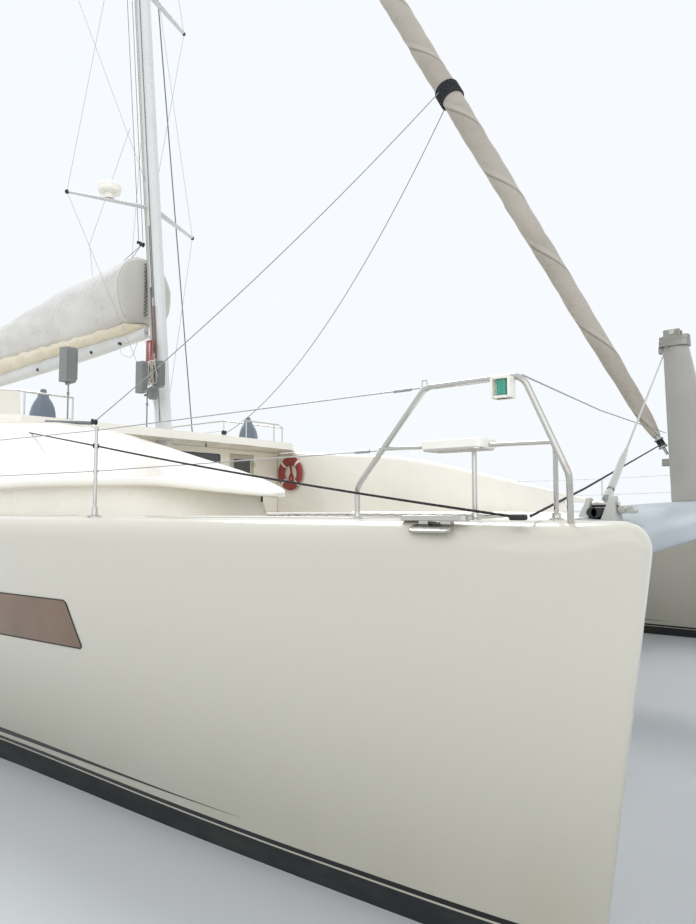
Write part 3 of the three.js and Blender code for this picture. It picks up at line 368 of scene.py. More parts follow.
@dataclass(frozen=True)
class HullPaint(Moulded):
    """The hull's gelcoat with its boot stripes, its bow flash, painted shade on its lower topsides and the
    antifouling below.
    """

    black: Colour = (9, 9, 10)
    antifouling_top: float = 0.075
    flash_top: float = 0.207
    flash_low: float = 0.138
    flash_point: Point = (9.34, 0.185)
    flash_level: float = 5.2

    def paint(self, shader: Shader) -> None:
        """Stripes by height, the flash narrowing to its point, patchy painted shade towards the waterline,
        and rough antifouling.
        """
        edge = 0.002
        level = shader.z - shader.x.step(9.83, 5.0) * 0.055 - 0.05
        # painted shade: below 0.9 m the topsides darken and yellow in noise patches
        patchy_waterline_shade = shader.z.step(0.9, 0.1) * shader.noise(2.2, 4, (1, 1, 0.4)).step(0.35, 0.7) * 0.35
        colour = shader.mix(patchy_waterline_shade, self.base(shader), (176, 172, 152))
        share = shader.x.step(self.flash_point[0], self.flash_level)
        ahead = (self.flash_point[0] - shader.x) / (self.flash_point[0] - self.flash_level)
        taper = self.node_least(shader, ahead)
        top = taper * (self.flash_top - self.flash_point[1]) + self.flash_point[1]
        low = taper * (self.flash_low - self.flash_point[1]) + self.flash_point[1]
        flash = (top - level).step(0, edge) * (level - low).step(0, edge) * share.step(0, 0.01)
        line = level.band(0.088, 0.115, edge)
        colour = shader.mix(flash.most(line), colour, self.black)
        under = level.step(self.antifouling_top + edge, self.antifouling_top)
        slime = shader.noise(3, 5, (1, 1, 3)).step(0.4, 0.7)
        bottom = shader.mix(slime * 0.5, (26, 28, 32), (52, 56, 48))
        shader.put(base_color=shader.mix(under, colour, bottom))
        shader.put(roughness=under * 0.55 + shader.noise(1.5, 3) * 0.1 + (self.rough - 0.05))
        shader.put(coat_weight=(1 - under) * self.coat, coat_roughness=0.06)
        shader.relief(shader.noise(60, 3) * (under * 0.8 + 0.2), 0.0012)

    @staticmethod
    def node_least(shader: Shader, share: Value) -> Value:
        """A share that is held between 0 and 1."""
        return shader.maths("MINIMUM", share.most(0.0), 1.0)


@dataclass(frozen=True)
class Grip(Finish):
    """Moulded non-slip: small raised studs in warm grey gelcoat with trodden-in dirt."""

    rough: float = 0.55

    def paint(self, shader: Shader) -> None:
        """Studs 9 mm apart and patches of wear."""
        worn = shader.noise(1.6, 5).step(0.4, 0.68)
        studs = shader.cells(110).step(0.5, 0.2)
        darkened_in_patches = shader.mix(worn * 0.16, self.colour, (176, 172, 160))
        shader.put(base_color=shader.mix((1 - studs) * 0.2, darkened_in_patches, (150, 147, 138)))
        shader.put(roughness=worn * 0.15 + self.rough)
        shader.relief(studs, 0.0008)


@dataclass(frozen=True)
class Glass(Finish):
    """Dark glass that mirrors what is round it, with wiped smears."""

    rough: float = 0.03
    metallic: float = 0.0

    def paint(self, shader: Shader) -> None:
        """A mirror-like coat on a dark tint."""
        smears = shader.noise(3, 4, (1, 1, 0.3)).step(0.4, 0.7)
        shader.put(base_color=shader.mix(smears * 0.3, self.colour, (44, 42, 40)))
        shader.put(roughness=smears * 0.05 + self.rough, metallic=self.metallic)
        shader.put(coat_weight=1.0, coat_roughness=0.02)


@dataclass(frozen=True)
class Metal(Finish):
    """Polished or brushed metal with fine scratches and a few tea-brown spots."""

    rough: float = 0.16
    metallic: float = 1.0
    spots: float = 0.25

    def paint(self, shader: Shader) -> None:
        """Scratches and spots over the metal."""
        brushed = shader.noise(300, 2, (1, 1, 0.1))
        spots = shader.noise(9, 4).step(0.6, 0.75) * self.spots
        shader.put(base_color=shader.mix(spots, self.colour, (134, 104, 74)), metallic=self.metallic)
        shader.put(roughness=brushed * 0.1 + spots * 0.4 + (self.rough - 0.05))
        shader.relief(brushed, 0.0001)


@dataclass(frozen=True)
class Painted(Finish):
    """Sprayed alloy or plastic, satin, with patches of dust and worn spots."""

    rough: float = 0.35
    worn: Colour = (150, 150, 146)
    metallic: float = 0.0

    def paint(self, shader: Shader) -> None:
        """Dust, scuffs and fine grain."""
        dust = shader.noise(1.1, 4).step(0.42, 0.68)
        scuffs = shader.noise(26, 4, (1, 1, 0.25)).step(0.62, 0.72)
        colour = shader.mix((dust * 0.3).most(scuffs * 0.4), self.colour, self.worn)
        shader.put(base_color=colour, metallic=self.metallic)
        shader.put(roughness=dust * 0.15 + scuffs * 0.1 + self.rough)
        shader.relief(shader.noise(500, 2), 0.0002)


@dataclass(frozen=True)
class Cloth(Finish):
    """Woven cloth: canvas, acrylic cover or cushion fabric."""

    rough: float = 0.85
    faded: Colour = (196, 190, 180)
    thread: float = 0.003

    def colours(self, shader: Shader) -> bpy.types.NodeSocket:
        """The cloth's colour, faded in places and darker in patches: soiling, and painted shade in
        creases.
        """
        fade = shader.noise(1.3, 5, (0.6, 1, 1)).step(0.38, 0.68)
        # darker patches: part soiling, part painted shade in creases
        crease_shade_and_soil = shader.noise(14, 4, (0.5, 1, 1.4)).step(0.55, 0.75)
        darkened_in_patches = shader.mix(crease_shade_and_soil * 0.25, self.colour, (110, 104, 96))
        return shader.mix(fade * 0.45, darkened_in_patches, self.faded)

    def paint(self, shader: Shader) -> None:
        """Weave, slubs and fading."""
        turn = math.tau / self.thread
        across = (shader.x * turn).sine() * (shader.z * turn + shader.y * turn).sine()
        slubs = shader.noise(90, 3)
        shader.put(base_color=self.colours(shader), sheen_weight=0.25, sheen_roughness=0.5)
        shader.put(roughness=slubs * 0.1 + (self.rough - 0.05))
        shader.relief(across * 0.35 + slubs * 0.65, 0.0012)


@dataclass(frozen=True)
class Rolled(Cloth):
    """Sail cloth rolled round a stay: panel seams wind along it in a slow helix."""

    seam: Colour = (118, 110, 100)
    pitch: float = 1.1

    def colours(self, shader: Shader) -> bpy.types.NodeSocket:
        """Seams that slope round the roll, and a lighter edge beside each."""
        turn = shader.y.angle(shader.x * 0.0 + (shader.x - 11.74) * 0.885 + shader.z * 0.465)
        lead = (shader.z / self.pitch + turn / math.tau) % 1.0
        seam = lead.band(0.46, 0.5, 0.01)
        light = lead.band(0.52, 0.6, 0.02)
        base = shader.mix(light * 0.5, super().colours(shader), self.faded)
        return shader.mix(seam * 0.6, base, self.seam)


@dataclass(frozen=True)
class Lay(Finish):
    """Braided rope: strands slope along its length, with a coloured fleck."""

    rough: float = 0.8
    fleck: Colour = (70, 70, 74)
    braid: float = 0.02

    def paint(self, shader: Shader) -> None:
        """Strands along the swept length, and flecks."""
        lead = shader.along() / self.braid
        strands = (lead * math.tau).sine() * 0.5 + 0.5
        fleck = ((lead * 0.5) % 1.0).band(0.4, 0.6, 0.05) * shader.noise(70, 2).step(0.4, 0.6)
        shader.put(base_color=shader.mix(fleck * 0.7, self.colour, self.fleck))
        shader.put(roughness=shader.noise(60, 2) * 0.1 + self.rough)
        shader.relief(strands, 0.0012)


@dataclass(frozen=True)
class Netting(Finish):
    """Knotted net of cord squares, open between the cords."""

    rough: float = 0.85
    square: float = 0.05
    cord: float = 0.2

    def paint(self, shader: Shader) -> None:
        """Holes between the cords of a square net."""
        run = (shader.x / self.square) % 1.0
        across = (shader.y / self.square) % 1.0
        hole = run.band(self.cord, 1.0, 0.03) * across.band(self.cord, 1.0, 0.03)
        knots = (1 - run.step(self.cord, 2 * self.cord)) * (1 - across.step(self.cord, 2 * self.cord))
        shader.put(base_color=shader.mix(shader.noise(30, 3), self.colour, (158, 156, 148)))
        shader.put(roughness=shader.noise(80, 2) * 0.1 + self.rough, alpha=1 - hole)
        shader.relief(knots, 0.003)


@dataclass(frozen=True)
class Planks(Finish):
    """Laid teak: narrow planks along the boat with black caulking."""

    rough: float = 0.6
    plank: float = 0.055

    def paint(self, shader: Shader) -> None:
        """Grain along each plank, and the caulked joints."""
        across = (shader.y / self.plank) % 1.0
        joint = across.step(0.9, 0.93)
        tone = shader.noise(1 / self.plank, 0, (0.02, 1, 0))
        grain = shader.noise(60, 5, (0.06, 1, 1))
        wood = shader.mix(grain, self.colour, (112, 84, 58))
        wood = shader.mix(tone.step(0.35, 0.65) * 0.5, wood, (176, 146, 108))
        shader.put(base_color=shader.mix(joint, wood, (24, 23, 22)))
        shader.put(roughness=grain * 0.2 + (self.rough - 0.1))
        shader.relief(grain * 0.3 + (1 - joint) * 0.7, 0.0012)


@dataclass(frozen=True)
class BuoyFoam(Finish):
    """Closed foam in signal orange with four bands, and wear on its round."""

    rough: float = 0.6
    band: Colour = (232, 228, 220)
    centre: Point = (1.45, 2.92)

    def paint(self, shader: Shader) -> None:
        """Four bands round the ring, by the angle from its middle."""
        turn = (shader.z - self.centre[1]).angle(shader.x - self.centre[0]) / math.tau + 1.0
        bands = ((turn * 4) % 1.0).band(0.45, 0.55, 0.01)
        wear = shader.noise(18, 4).step(0.5, 0.75)
        colour = shader.mix(wear * 0.3, self.colour, (186, 96, 88))
        shader.put(base_color=shader.mix(bands, colour, self.band))
        shader.put(roughness=wear * 0.15 + self.rough)
        shader.relief(shader.noise(140, 3), 0.0006)


class Look:
    """The finishes of this boat, named once."""

    # the hull's low colour is painted shade on its lower topsides
    HULL = HullPaint("hull_paint_striped", "hull_paint", (206, 202, 189), rough=0.16, low=(182, 179, 166))
    GELCOAT = Moulded("gelcoat_cream_white", "deck_paint", (246, 242, 232))
    # painted light: a brighter copy of the gelcoat, lifting the shade under the roof's overhang
    HOUSE_PAINTED_BRIGHT = Moulded("gelcoat_house", "deck_paint", (250, 244, 232), rough=0.26)
    # painted light: a brighter copy of the gelcoat on the wall under the coachroof lip, lifting the shade
    # there
    WALL_PAINTED_BRIGHT = Moulded("gelcoat_wall", "deck_paint", (255, 250, 240), rough=0.26, stained=0.06)
    # painted shade: a darker beige copy of the gelcoat for the recessed front door
    RECESS_PAINTED_SHADE = Moulded("gelcoat_recess_beige", "deck_paint", (196, 190, 174), rough=0.4, coat=0.1)
    GRIP = Grip("deck_grip", "deck_paint", (206, 203, 193))
    GLASS = Glass("window_glass_dark", "window_glass", (14, 15, 17))
    BRONZE_GLASS = Glass("window_glass_bronze", "window_glass", (124, 94, 68), 0.06, 0.85)
    SEAL = Painted("window_seal_black", "black_cover", (26, 26, 27), rough=0.5, worn=(60, 60, 60))
    STEEL = Metal("stainless_polished", "stainless_steel", (196, 194, 188))
    SHROUD = Lay("shroud_cover_dark", None, (112, 118, 122), fleck=(134, 140, 144))
    WIRE = Metal("stainless_wire", "stainless_steel", (168, 170, 172), rough=0.3)
    MAST = Painted("mast_paint", "alloy_paint", (214, 215, 214), rough=0.28, worn=(182, 184, 184))
    ALLOY = Painted("anodised_alloy", "alloy_paint", (168, 171, 174), rough=0.35, metallic=0.6)
    EARS = Painted("beam_ear_alloy", "alloy_paint", (188, 187, 180), rough=0.3, worn=(160, 160, 156))
    # partly painted reflection: grey paint, with a blue tint that stands in for the sky mirrored in the
    # beam
    BEAM_SKY_TINTED = Painted("beam_paint_blue_grey", "beam_paint", (160, 169, 174), rough=0.3, worn=(142, 149, 153))
    POST = Painted("striker_paint_grey", "alloy_paint", (170, 167, 160), rough=0.3, worn=(142, 140, 135))
    SPEAKER = Painted(
        "speaker_cover_grey", "black_cover", (130, 133, 132), rough=0.7, worn=(146, 148, 147)
    )
    BLACK = Painted("moulded_black", "black_cover", (30, 31, 33), rough=0.55, worn=(78, 78, 78))
    BAG = Cloth("sail_bag_canvas", "canvas", (206, 203, 199), faded=(226, 223, 218))
    FOOT = Cloth("sail_foot_cloth", "canvas", (226, 216, 194), faded=(240, 233, 216))
    POST_METAL = Metal("striker_cap_steel", "stainless_steel", (150, 148, 142), rough=0.35)
    BAG_DARK = Cloth("sail_bag_front_panel", "canvas", (192, 189, 182), faded=(210, 206, 199))
    ROLL = Rolled("furled_sail_cover", "canvas", (172, 163, 151), faded=(194, 186, 174))
    COVER = Cloth("winch_cover_cloth", "cover_cloth", (108, 119, 132), faded=(140, 149, 160))
    CUSHION = Cloth("cushion_fabric", "cushion_cloth", (186, 180, 166), faded=(206, 200, 188))
    NET = Netting("trampoline_net", "netting", (196, 194, 186))
    TEAK = Planks("teak_planks", "teak", (146, 114, 80))
    FOUL = Painted("antifouling_black", "antifouling", (30, 32, 36), rough=0.75, worn=(58, 62, 54))
    DRIVE = Painted("drive_paint_grey", "drive_paint", (96, 102, 108), rough=0.5, worn=(70, 74, 76))
    BRONZE = Metal("bronze_cast", "bronze", (168, 128, 74), rough=0.3)
    BUOY = BuoyFoam("lifebuoy_foam", "lifebuoy_foam", (150, 62, 58))
    ROPE_DARK = Lay("rope_black", None, (34, 34, 37), fleck=(84, 86, 92))
    ROPE_PALE = Lay("rope_pale", None, (206, 200, 186), fleck=(110, 116, 130))
    ROPE_GREY = Lay("rope_grey", None, (120, 122, 124), fleck=(70, 74, 80))
    ROPE_SILVER = Lay("rope_silver", None, (150, 152, 154), fleck=(110, 114, 120))
    ROPE_BROWN = Lay("rope_brown", None, (124, 98, 92), fleck=(160, 138, 130))
    ROPE_RED = Lay("rope_red", None, (158, 52, 50), fleck=(190, 120, 112))
    ROPE_ROSE = Lay("rope_rose", None, (166, 98, 92), fleck=(206, 182, 176))
    LENS = Glass("lens_green", None, (12, 168, 140), rough=0.08)
    LENS_RED = Glass("lens_red", None, (150, 22, 18), rough=0.12)


# Meshes


def monotone(xs: Sequence[float], ys: Sequence[float], at: np.ndarray) -> np.ndarray:
    """A smooth curve through points that never swings past them.

    Args:
        xs: Increasing places of the points.
        ys: Their values.
        at: Where to read the curve.

    Returns:
        The curve's values there.
    """
    x, y, at = np.asarray(xs, float), np.asarray(ys, float), np.asarray(at, float)
    run = np.diff(x)
    rise = np.diff(y) / run
    slope = np.zeros(len(x))
    slope[0], slope[-1] = rise[0], rise[-1]
    same = rise[:-1] * rise[1:] > 0
    near, far = 2 * run[1:] + run[:-1], run[1:] + 2 * run[:-1]
    safe = np.where(same, rise[:-1], 1), np.where(same, rise[1:], 1)
    slope[1:-1] = np.where(same, (near + far) / (near / safe[0] + far / safe[1]), 0)
    i = np.clip(np.searchsorted(x, at, side="right") - 1, 0, len(run) - 1)
    t = np.clip((at - x[i]) / run[i], 0, 1)
    ends = (1 + 2 * t) * (1 - t) ** 2 * y[i] + t * t * (3 - 2 * t) * y[i + 1]
    return ends + run[i] * (t * (1 - t) ** 2 * slope[i] - t * t * (1 - t) * slope[i + 1])


def fair(points: Iterable[Point], counts: int | Sequence[int]) -> np.ndarray:
    """A smooth line through points, with so many samples to each stretch.

    Args:
        points: What the line passes through.
        counts: Samples for each stretch, or one number for all.

    Returns:
        The line's points, one to a row.
    """
    given = np.asarray(list(points), float)
    reach = np.concatenate([[0], np.cumsum(np.linalg.norm(np.diff(given, axis=0), axis=1))])
    each = [counts] * (len(given) - 1) if isinstance(counts, int) else counts
    at = [np.linspace(reach[i], reach[i + 1], n, endpoint=False) for i, n in enumerate(each)]
    at = np.concatenate([*at, reach[-1:]])
    return np.column_stack([monotone(reach, column, at) for column in given.T])


def mesh_of(points: Iterable[Point], faces: Iterable[Sequence[int]]) -> bpy.types.Mesh:
    """A mesh from points and faces, its normals turned outwards."""
    mesh = bpy.data.meshes.new("made")
    mesh.from_pydata([tuple(map(float, p)) for p in points], [], [tuple(map(int, f)) for f in faces])
    return outward(mesh)


def outward(mesh: bpy.types.Mesh, merge: float = 1e-5) -> bpy.types.Mesh:
    """Merges a mesh's doubled points and turns its faces outwards."""
    work = bmesh.new()
    work.from_mesh(mesh)
    bmesh.ops.remove_doubles(work, verts=work.verts, dist=merge)
    bmesh.ops.dissolve_degenerate(work, edges=work.edges, dist=merge)
    bmesh.ops.recalc_face_normals(work, faces=work.faces)
    work.to_mesh(mesh)
    work.free()
    return mesh


def loft(rings: Sequence[Sequence[Point]], loop: bool = False) -> bpy.types.Mesh:
    """A closed skin through rings of equal count.

    Args:
        rings: Closed rings of points.
        loop: Whether the last ring joins the first, and not two caps.

    Returns:
        The skin's mesh.
    """
    count = len(rings[0])
    points = [p for ring in rings for p in ring]
    faces = []
    for i in range(len(rings) - (0 if loop else 1)):
        a, b = i * count, (i + 1) % len(rings) * count
        for j in range(count):
            k = (j + 1) % count
            faces.append((a + j, a + k, b + k, b + j))
    if not loop:
        faces += [tuple(range(count)), tuple(range(len(points) - count, len(points)))]
    return mesh_of(points, faces)


def lathe(profile: Sequence[tuple[float, float]], foot: Point, count: int = 32) -> bpy.types.Mesh:
    """A profile of (radius, height) points turned about a vertical axis at foot."""
    angles = around(count)
    rings = []
    for radius, height in profile:
        r = max(radius, 1e-4)
        rings.append(
            [(foot[0] + r * math.cos(a), foot[1] + r * math.sin(a), foot[2] + height) for a in angles]
        )
    return loft(rings)


def block(low: Point, high: Point) -> bpy.types.Mesh:
    """The plain body between two corners, for a bevel to finish."""
    return slab(corners(low[0], low[1], high[0], high[1]), low[2], high[2])


def slab(outline: Sequence[tuple[float, float]], low: float, high: float) -> bpy.types.Mesh:
    """A flat outline in X and Y, from one height to another."""
    return loft([[(x, y, z) for x, y in outline] for z in (low, high)])


def rounded(
    outline: Sequence[tuple[float, float]], radius: float, count: int = 5
) -> list[tuple[float, float]]:
    """A flat outline with each corner rounded off.

    Args:
        outline: The corners in order.
        radius: How far each round reaches along its two sides.
        count: Points to each round.

    Returns:
        The outline's new points.
    """
    given = [Vector(p) for p in outline]
    made = []
    for i, corner in enumerate(given):
        before, after = given[i - 1] - corner, given[(i + 1) % len(given)] - corner
        reach = min(radius, before.length * 0.49, after.length * 0.49)
        a, b = corner + before.normalized() * reach, corner + after.normalized() * reach
        for t in np.linspace(0, 1, count):
            made.append(tuple(a * (1 - t) ** 2 + corner * 2 * t * (1 - t) + b * t * t))
    return made


def corners(x0: float, y0: float, x1: float, y1: float) -> list[tuple[float, float]]:
    """The corners of a flat rectangle, in order."""
    return [(x0, y0), (x1, y0), (x1, y1), (x0, y1)]


def panel(outline: Sequence[tuple[float, float]], radius: float, z: float) -> bpy.types.Mesh:
    """A thin panel with round corners, laid on a deck at height z."""
    return slab(rounded(outline, radius), z + PANEL[0], z + PANEL[1])


def turned(mesh: bpy.types.Mesh, place: Matrix) -> bpy.types.Mesh:
    """The same mesh, moved or turned by a matrix."""
    mesh.transform(place)
    return outward(mesh) if place.determinant() < 0 else mesh


def merged(*meshes: bpy.types.Mesh) -> bpy.types.Mesh:
    """Several closed meshes as the shells of one."""
    work = bmesh.new()
    for mesh in meshes:
        work.from_mesh(mesh)
        bpy.data.meshes.remove(mesh)
    whole = bpy.data.meshes.new("merged")
    work.to_mesh(whole)
    work.free()
    return whole


def plain(obj: bpy.types.Object) -> bpy.types.Mesh:
    """An object's evaluated result as a plain mesh; the object is then removed."""
    depsgraph = bpy.context.evaluated_depsgraph_get()
    mesh = bpy.data.meshes.new_from_object(obj.evaluated_get(depsgraph), depsgraph=depsgraph)
    obj.modifiers.clear()
    bpy.data.objects.remove(obj)
    return mesh


def loose(mesh: bpy.types.Mesh) -> bpy.types.Object:
    """A mesh as an object in the scene, for a modifier to work on."""
    obj = bpy.data.objects.new("work", mesh)
    bpy.context.scene.collection.objects.link(obj)
    return obj


def carved(mesh: bpy.types.Mesh, *tools: bpy.types.Mesh) -> bpy.types.Mesh:
    """A mesh with other bodies cut out of it."""
    work = loose(mesh)
    cutters = [loose(tool) for tool in tools]
    for cutter in cutters:
        cut = work.modifiers.new("cut", "BOOLEAN")
        cut.object, cut.operation, cut.solver = cutter, "DIFFERENCE", "EXACT"
    made = plain(work)
    for cutter in cutters:
        bpy.data.objects.remove(cutter)
    return made


def piece(
    name: str,
    mesh: bpy.types.Mesh,
    finish: Finish,
    body: str = "boat",
    replaces: Sequence[str] = (),
    bevel: float = 0.0,
    subdivide: int = 0,
    sharp: float = 38.0,
) -> bpy.types.Object:
    """Makes a finished piece of the boat and puts it on its body.

    Args:
        name: The piece's name.
        mesh: Its mesh, in the boat's frame.
        finish: Its finish.
        replaces: CAD nodes that it stands for.
        bevel: Width of the round on its edges.
        subdivide: Levels of subdivision.
        sharp: Edges that turn by more than this many degrees stay sharp.

    Returns:
        The new object.
    """
    mesh.name = name
    mesh.materials.clear()
    mesh.materials.append(material(finish))
    mesh.shade_smooth()
    mesh.set_sharp_from_angle(angle=math.radians(sharp))
    obj = bpy.data.objects.new(name, mesh)
    bpy.context.scene.collection.objects.link(obj)
    if bevel:
        rounding = obj.modifiers.new("round_edges", "BEVEL")
        rounding.width, rounding.segments, rounding.harden_normals = bevel, 3, True
        rounding.limit_method, rounding.angle_limit = "ANGLE", math.radians(35)
    if subdivide:
        finer = obj.modifiers.new("finer", "SUBSURF")
        finer.levels = finer.render_levels = subdivide
    if body:
        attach(obj, body)
    if replaces:
        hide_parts(*replaces)
    log.info("%s: %d points on %s", name, len(mesh.vertices), body)
    return obj


def dress(node: str, finish: Finish, bevel: float = 0.0) -> None:
    """Gives a CAD node its finish and rounds its edges, leaving its mesh as it is.

    Args:
        node: The node's name.
        finish: What it is finished with.
        bevel: Width of the round on its edges.
    """
    obj = frame["nodes"][node]
    obj.data.materials.clear()
    obj.data.materials.append(material(finish))
    if bevel:
        weld = obj.modifiers.new("weld", "WELD")
        weld.merge_threshold = 0.0002
        rounding = obj.modifiers.new("round_edges", "BEVEL")
        rounding.width, rounding.segments = bevel, 3
        rounding.limit_method, rounding.angle_limit = "ANGLE", math.radians(30)
    log.info("%s: CAD node in %s", node, finish.name)


# Geometry Nodes


@dataclass
class Chain:
    """A line that a bar, wire or rope follows: its points, radius, bend radius and whether it closes."""

    points: Sequence[Point]
    radius: float
    bend: float = 0.0
    loop: bool = False


class GeometryTree(Tree):
    """A Geometry Nodes tree with named inputs, run on a base mesh to give a plain one."""

    def __init__(self, name: str, inputs: dict[str, str]) -> None:
        """Starts a tree.

        Args:
            name: The tree's name.
            inputs: Each input's name with its socket type.
        """
        super().__init__(bpy.data.node_groups.new(name, "GeometryNodeTree"))
        sockets = self.tree.interface
        sockets.new_socket("Geometry", in_out="OUTPUT", socket_type="NodeSocketGeometry")
        made = {"Geometry": "NodeSocketGeometry", **inputs, "Finish": "NodeSocketMaterial"}
        self.ids = {
            key: sockets.new_socket(key, in_out="INPUT", socket_type=kind).identifier
            for key, kind in made.items()
        }
        self.given = self.node("NodeGroupInput").outputs

    def end(self, geometry: bpy.types.NodeSocket) -> None:
        """Realises instances, sets the finish and closes the tree."""
        whole = self.node("GeometryNodeRealizeInstances", values={0: geometry})
        smooth = self.node("GeometryNodeSetShadeSmooth", values={0: whole.outputs[0]})
        values = {"Geometry": smooth.outputs[0], "Material": self.given["Finish"]}
        done = self.node("GeometryNodeSetMaterial", values=values)
        self.node("NodeGroupOutput", values={0: done.outputs[0]})

    def named(self, name: str, kind: str = "FLOAT") -> bpy.types.NodeSocket:
        """Reads a named attribute of the base mesh."""
        return self.node(
            "GeometryNodeInputNamedAttribute", {"data_type": kind}, {"Name": name}
        ).outputs[0]

    def run(self, base: bpy.types.Mesh, finish: Finish, **values: object) -> bpy.types.Mesh:
        """Runs the tree on a base mesh.

        Args:
            base: The mesh that it works on.
            finish: The finish of the result.
            **values: The named inputs.

        Returns:
            A plain mesh.
        """
        obj = loose(base)
        modifier = obj.modifiers.new("build", "NODES")
        modifier.node_group = self.tree
        for name, value in {**values, "Finish": material(finish)}.items():
            modifier[self.ids[name]] = value
        return plain(obj)


class Sweep(GeometryTree):
    """Turns chains of edges into round bars, wires or ropes, with rounded bends."""

    def __init__(self) -> None:
        """Builds the tree: curve, bend, store the length along it, and skin it."""
        super().__init__("sweep_round_bars", {"Sides": "NodeSocketInt", "Bend points": "NodeSocketInt"})
        curve = self.node("GeometryNodeMeshToCurve", values={"Mesh": self.given["Geometry"]})
        values = {
            "Curve": curve.outputs[0],
            "Count": self.given["Bend points"],
            "Radius": self.named("bend"),
            "Limit Radius": True,
        }
        bent = self.node("GeometryNodeFilletCurve", {"mode": "POLY"}, values)
        length = self.node("GeometryNodeSplineParameter").outputs["Length"]
        values = {"Geometry": bent.outputs[0], "Name": "along", "Value": length}
        told = self.node("GeometryNodeStoreNamedAttribute", {"domain": "POINT"}, values)
        round_bar = self.node(
            "GeometryNodeCurvePrimitiveCircle", values={"Resolution": self.given["Sides"], "Radius": 1.0}
        )
        values = {
            "Curve": told.outputs[0],
            "Profile Curve": round_bar.outputs[0],
            "Scale": self.named("thick"),
            "Fill Caps": True,
        }
        self.end(self.node("GeometryNodeCurveToMesh", values=values).outputs[0])

    def mesh(
        self, chains: Iterable[Chain], finish: Finish, sides: int = 12, bends: int = 8
    ) -> bpy.types.Mesh:
        """Sweeps each chain.

        Args:
            chains: The lines to follow.
            finish: The finish of the bars.
            sides: Sides of the round section.
            bends: Points in each rounded bend.

        Returns:
            The bars as one plain mesh.
        """
        points, edges, thick, bend = [], [], [], []
        for chain in chains:
            first, count = len(points), len(chain.points)
            points += [tuple(map(float, p)) for p in chain.points]
            edges += [(first + i, first + i + 1) for i in range(count - 1)]
            edges += [(first + count - 1, first)] if chain.loop else []
            thick += [chain.radius] * count
            bend += [chain.bend] * count
        base = bpy.data.meshes.new("chains")
        base.from_pydata(points, edges, [])
        for name, values in {"thick": thick, "bend": bend}.items():
            base.attributes.new(name, "FLOAT", "POINT").data.foreach_set("value", values)
        return self.run(base, finish, **{"Sides": sides, "Bend points": bends})


class Studs(GeometryTree):
    """Sets one low round stud, such as a screw head or an eyelet, on each point of a mesh."""

    def __init__(self) -> None:
        """Builds the tree: a cylinder on each point, turned to face the point's aim."""
        inputs = {"Radius": "NodeSocketFloat", "Height": "NodeSocketFloat", "Sides": "NodeSocketInt"}
        super().__init__("set_studs", inputs)
        given = self.given
        values = {"Radius": given["Radius"], "Vertices": given["Sides"], "Depth": given["Height"]}
        stud = self.node("GeometryNodeMeshCylinder", values=values)
        aim = self.node(
            "FunctionNodeAlignRotationToVector", {"axis": "Z"}, {
                "Vector": self.named("aim", "FLOAT_VECTOR")
            }
        )
        values = {
            "Points": self.given["Geometry"],
            "Instance": stud.outputs[0],
            "Rotation": aim.outputs[0],
        }
        self.end(self.node("GeometryNodeInstanceOnPoints", values=values).outputs[0])

    def mesh(
        self, spots: Sequence[tuple[Point, Point]], finish: Finish, radius: float, height: float
    ) -> bpy.types.Mesh:
        """Sets the studs.

        Args:
            spots: Each stud's middle and the way that it faces.
            finish: Their finish.
            radius: Their radius.
            height: Their height.

        Returns:
            The studs as one plain mesh.
        """
        base = bpy.data.meshes.new("spots")
        base.from_pydata([tuple(map(float, p)) for p, _ in spots], [], [])
        aims = base.attributes.new("aim", "FLOAT_VECTOR", "POINT")
        aims.data.foreach_set("vector", [float(c) for _, aim in spots for c in aim])
        return self.run(base, finish, Radius=radius, Height=height, Sides=10)


sweep = Sweep()
studs = Studs()


def bars(
    name: str, chains: Iterable[Chain], finish: Finish, body: str = "boat", sides: int = 12,
    **more: object
) -> bpy.types.Object:
    """A piece of swept bars, wires or ropes."""
    return piece(name, sweep.mesh(chains, finish, sides), finish, body, sharp=60, **more)


def mirrored(points: Iterable[Point], side: int) -> list[tuple[float, float, float]]:
    """Points of the port side, or their mirror image to starboard."""
    return [(p[0], side * p[1], p[2]) for p in points]


# The boat


def run(side: int, radius: float, *points: Point, bend: float = 0.0, loop: bool = False) -> Chain:
    """A chain through points that are given for the port side."""
    return Chain(mirrored(points, side), radius, bend, loop)


class Station(NamedTuple):
    """A hull section: its place at the waterline and at the deck, its half widths and its draught."""

    water_x: float
    deck_x: float
    half_deck: float
    half_water: float
    depth: float


STATIONS = (
    Station(-11.5, -11.5, 1.0, 0.82, 0.16),
    Station(-9.5, -9.5, 1.08, 0.87, 0.33),
    Station(-6.0, -6.0, 1.12, 0.9, 0.56),
    Station(-2.0, -2.0, 1.12, 0.88, 0.68),
    Station(2.0, 2.0, 1.06, 0.74, 0.7),
    Station(4.5, 4.5, 0.9, 0.52, 0.65),
    Station(6.5, 6.5, 0.74, 0.365, 0.57),
    Station(8.6, 8.65, 0.54, 0.262, 0.46),
    Station(9.97, 10.08, 0.37, 0.165, 0.34),
    Station(10.845, 11.04, 0.215, 0.085, 0.22),
    Station(11.135, 11.4, 0.115, 0.04, 0.14),
    Station(11.218, 11.5, 0.055, 0.018, 0.09),
)


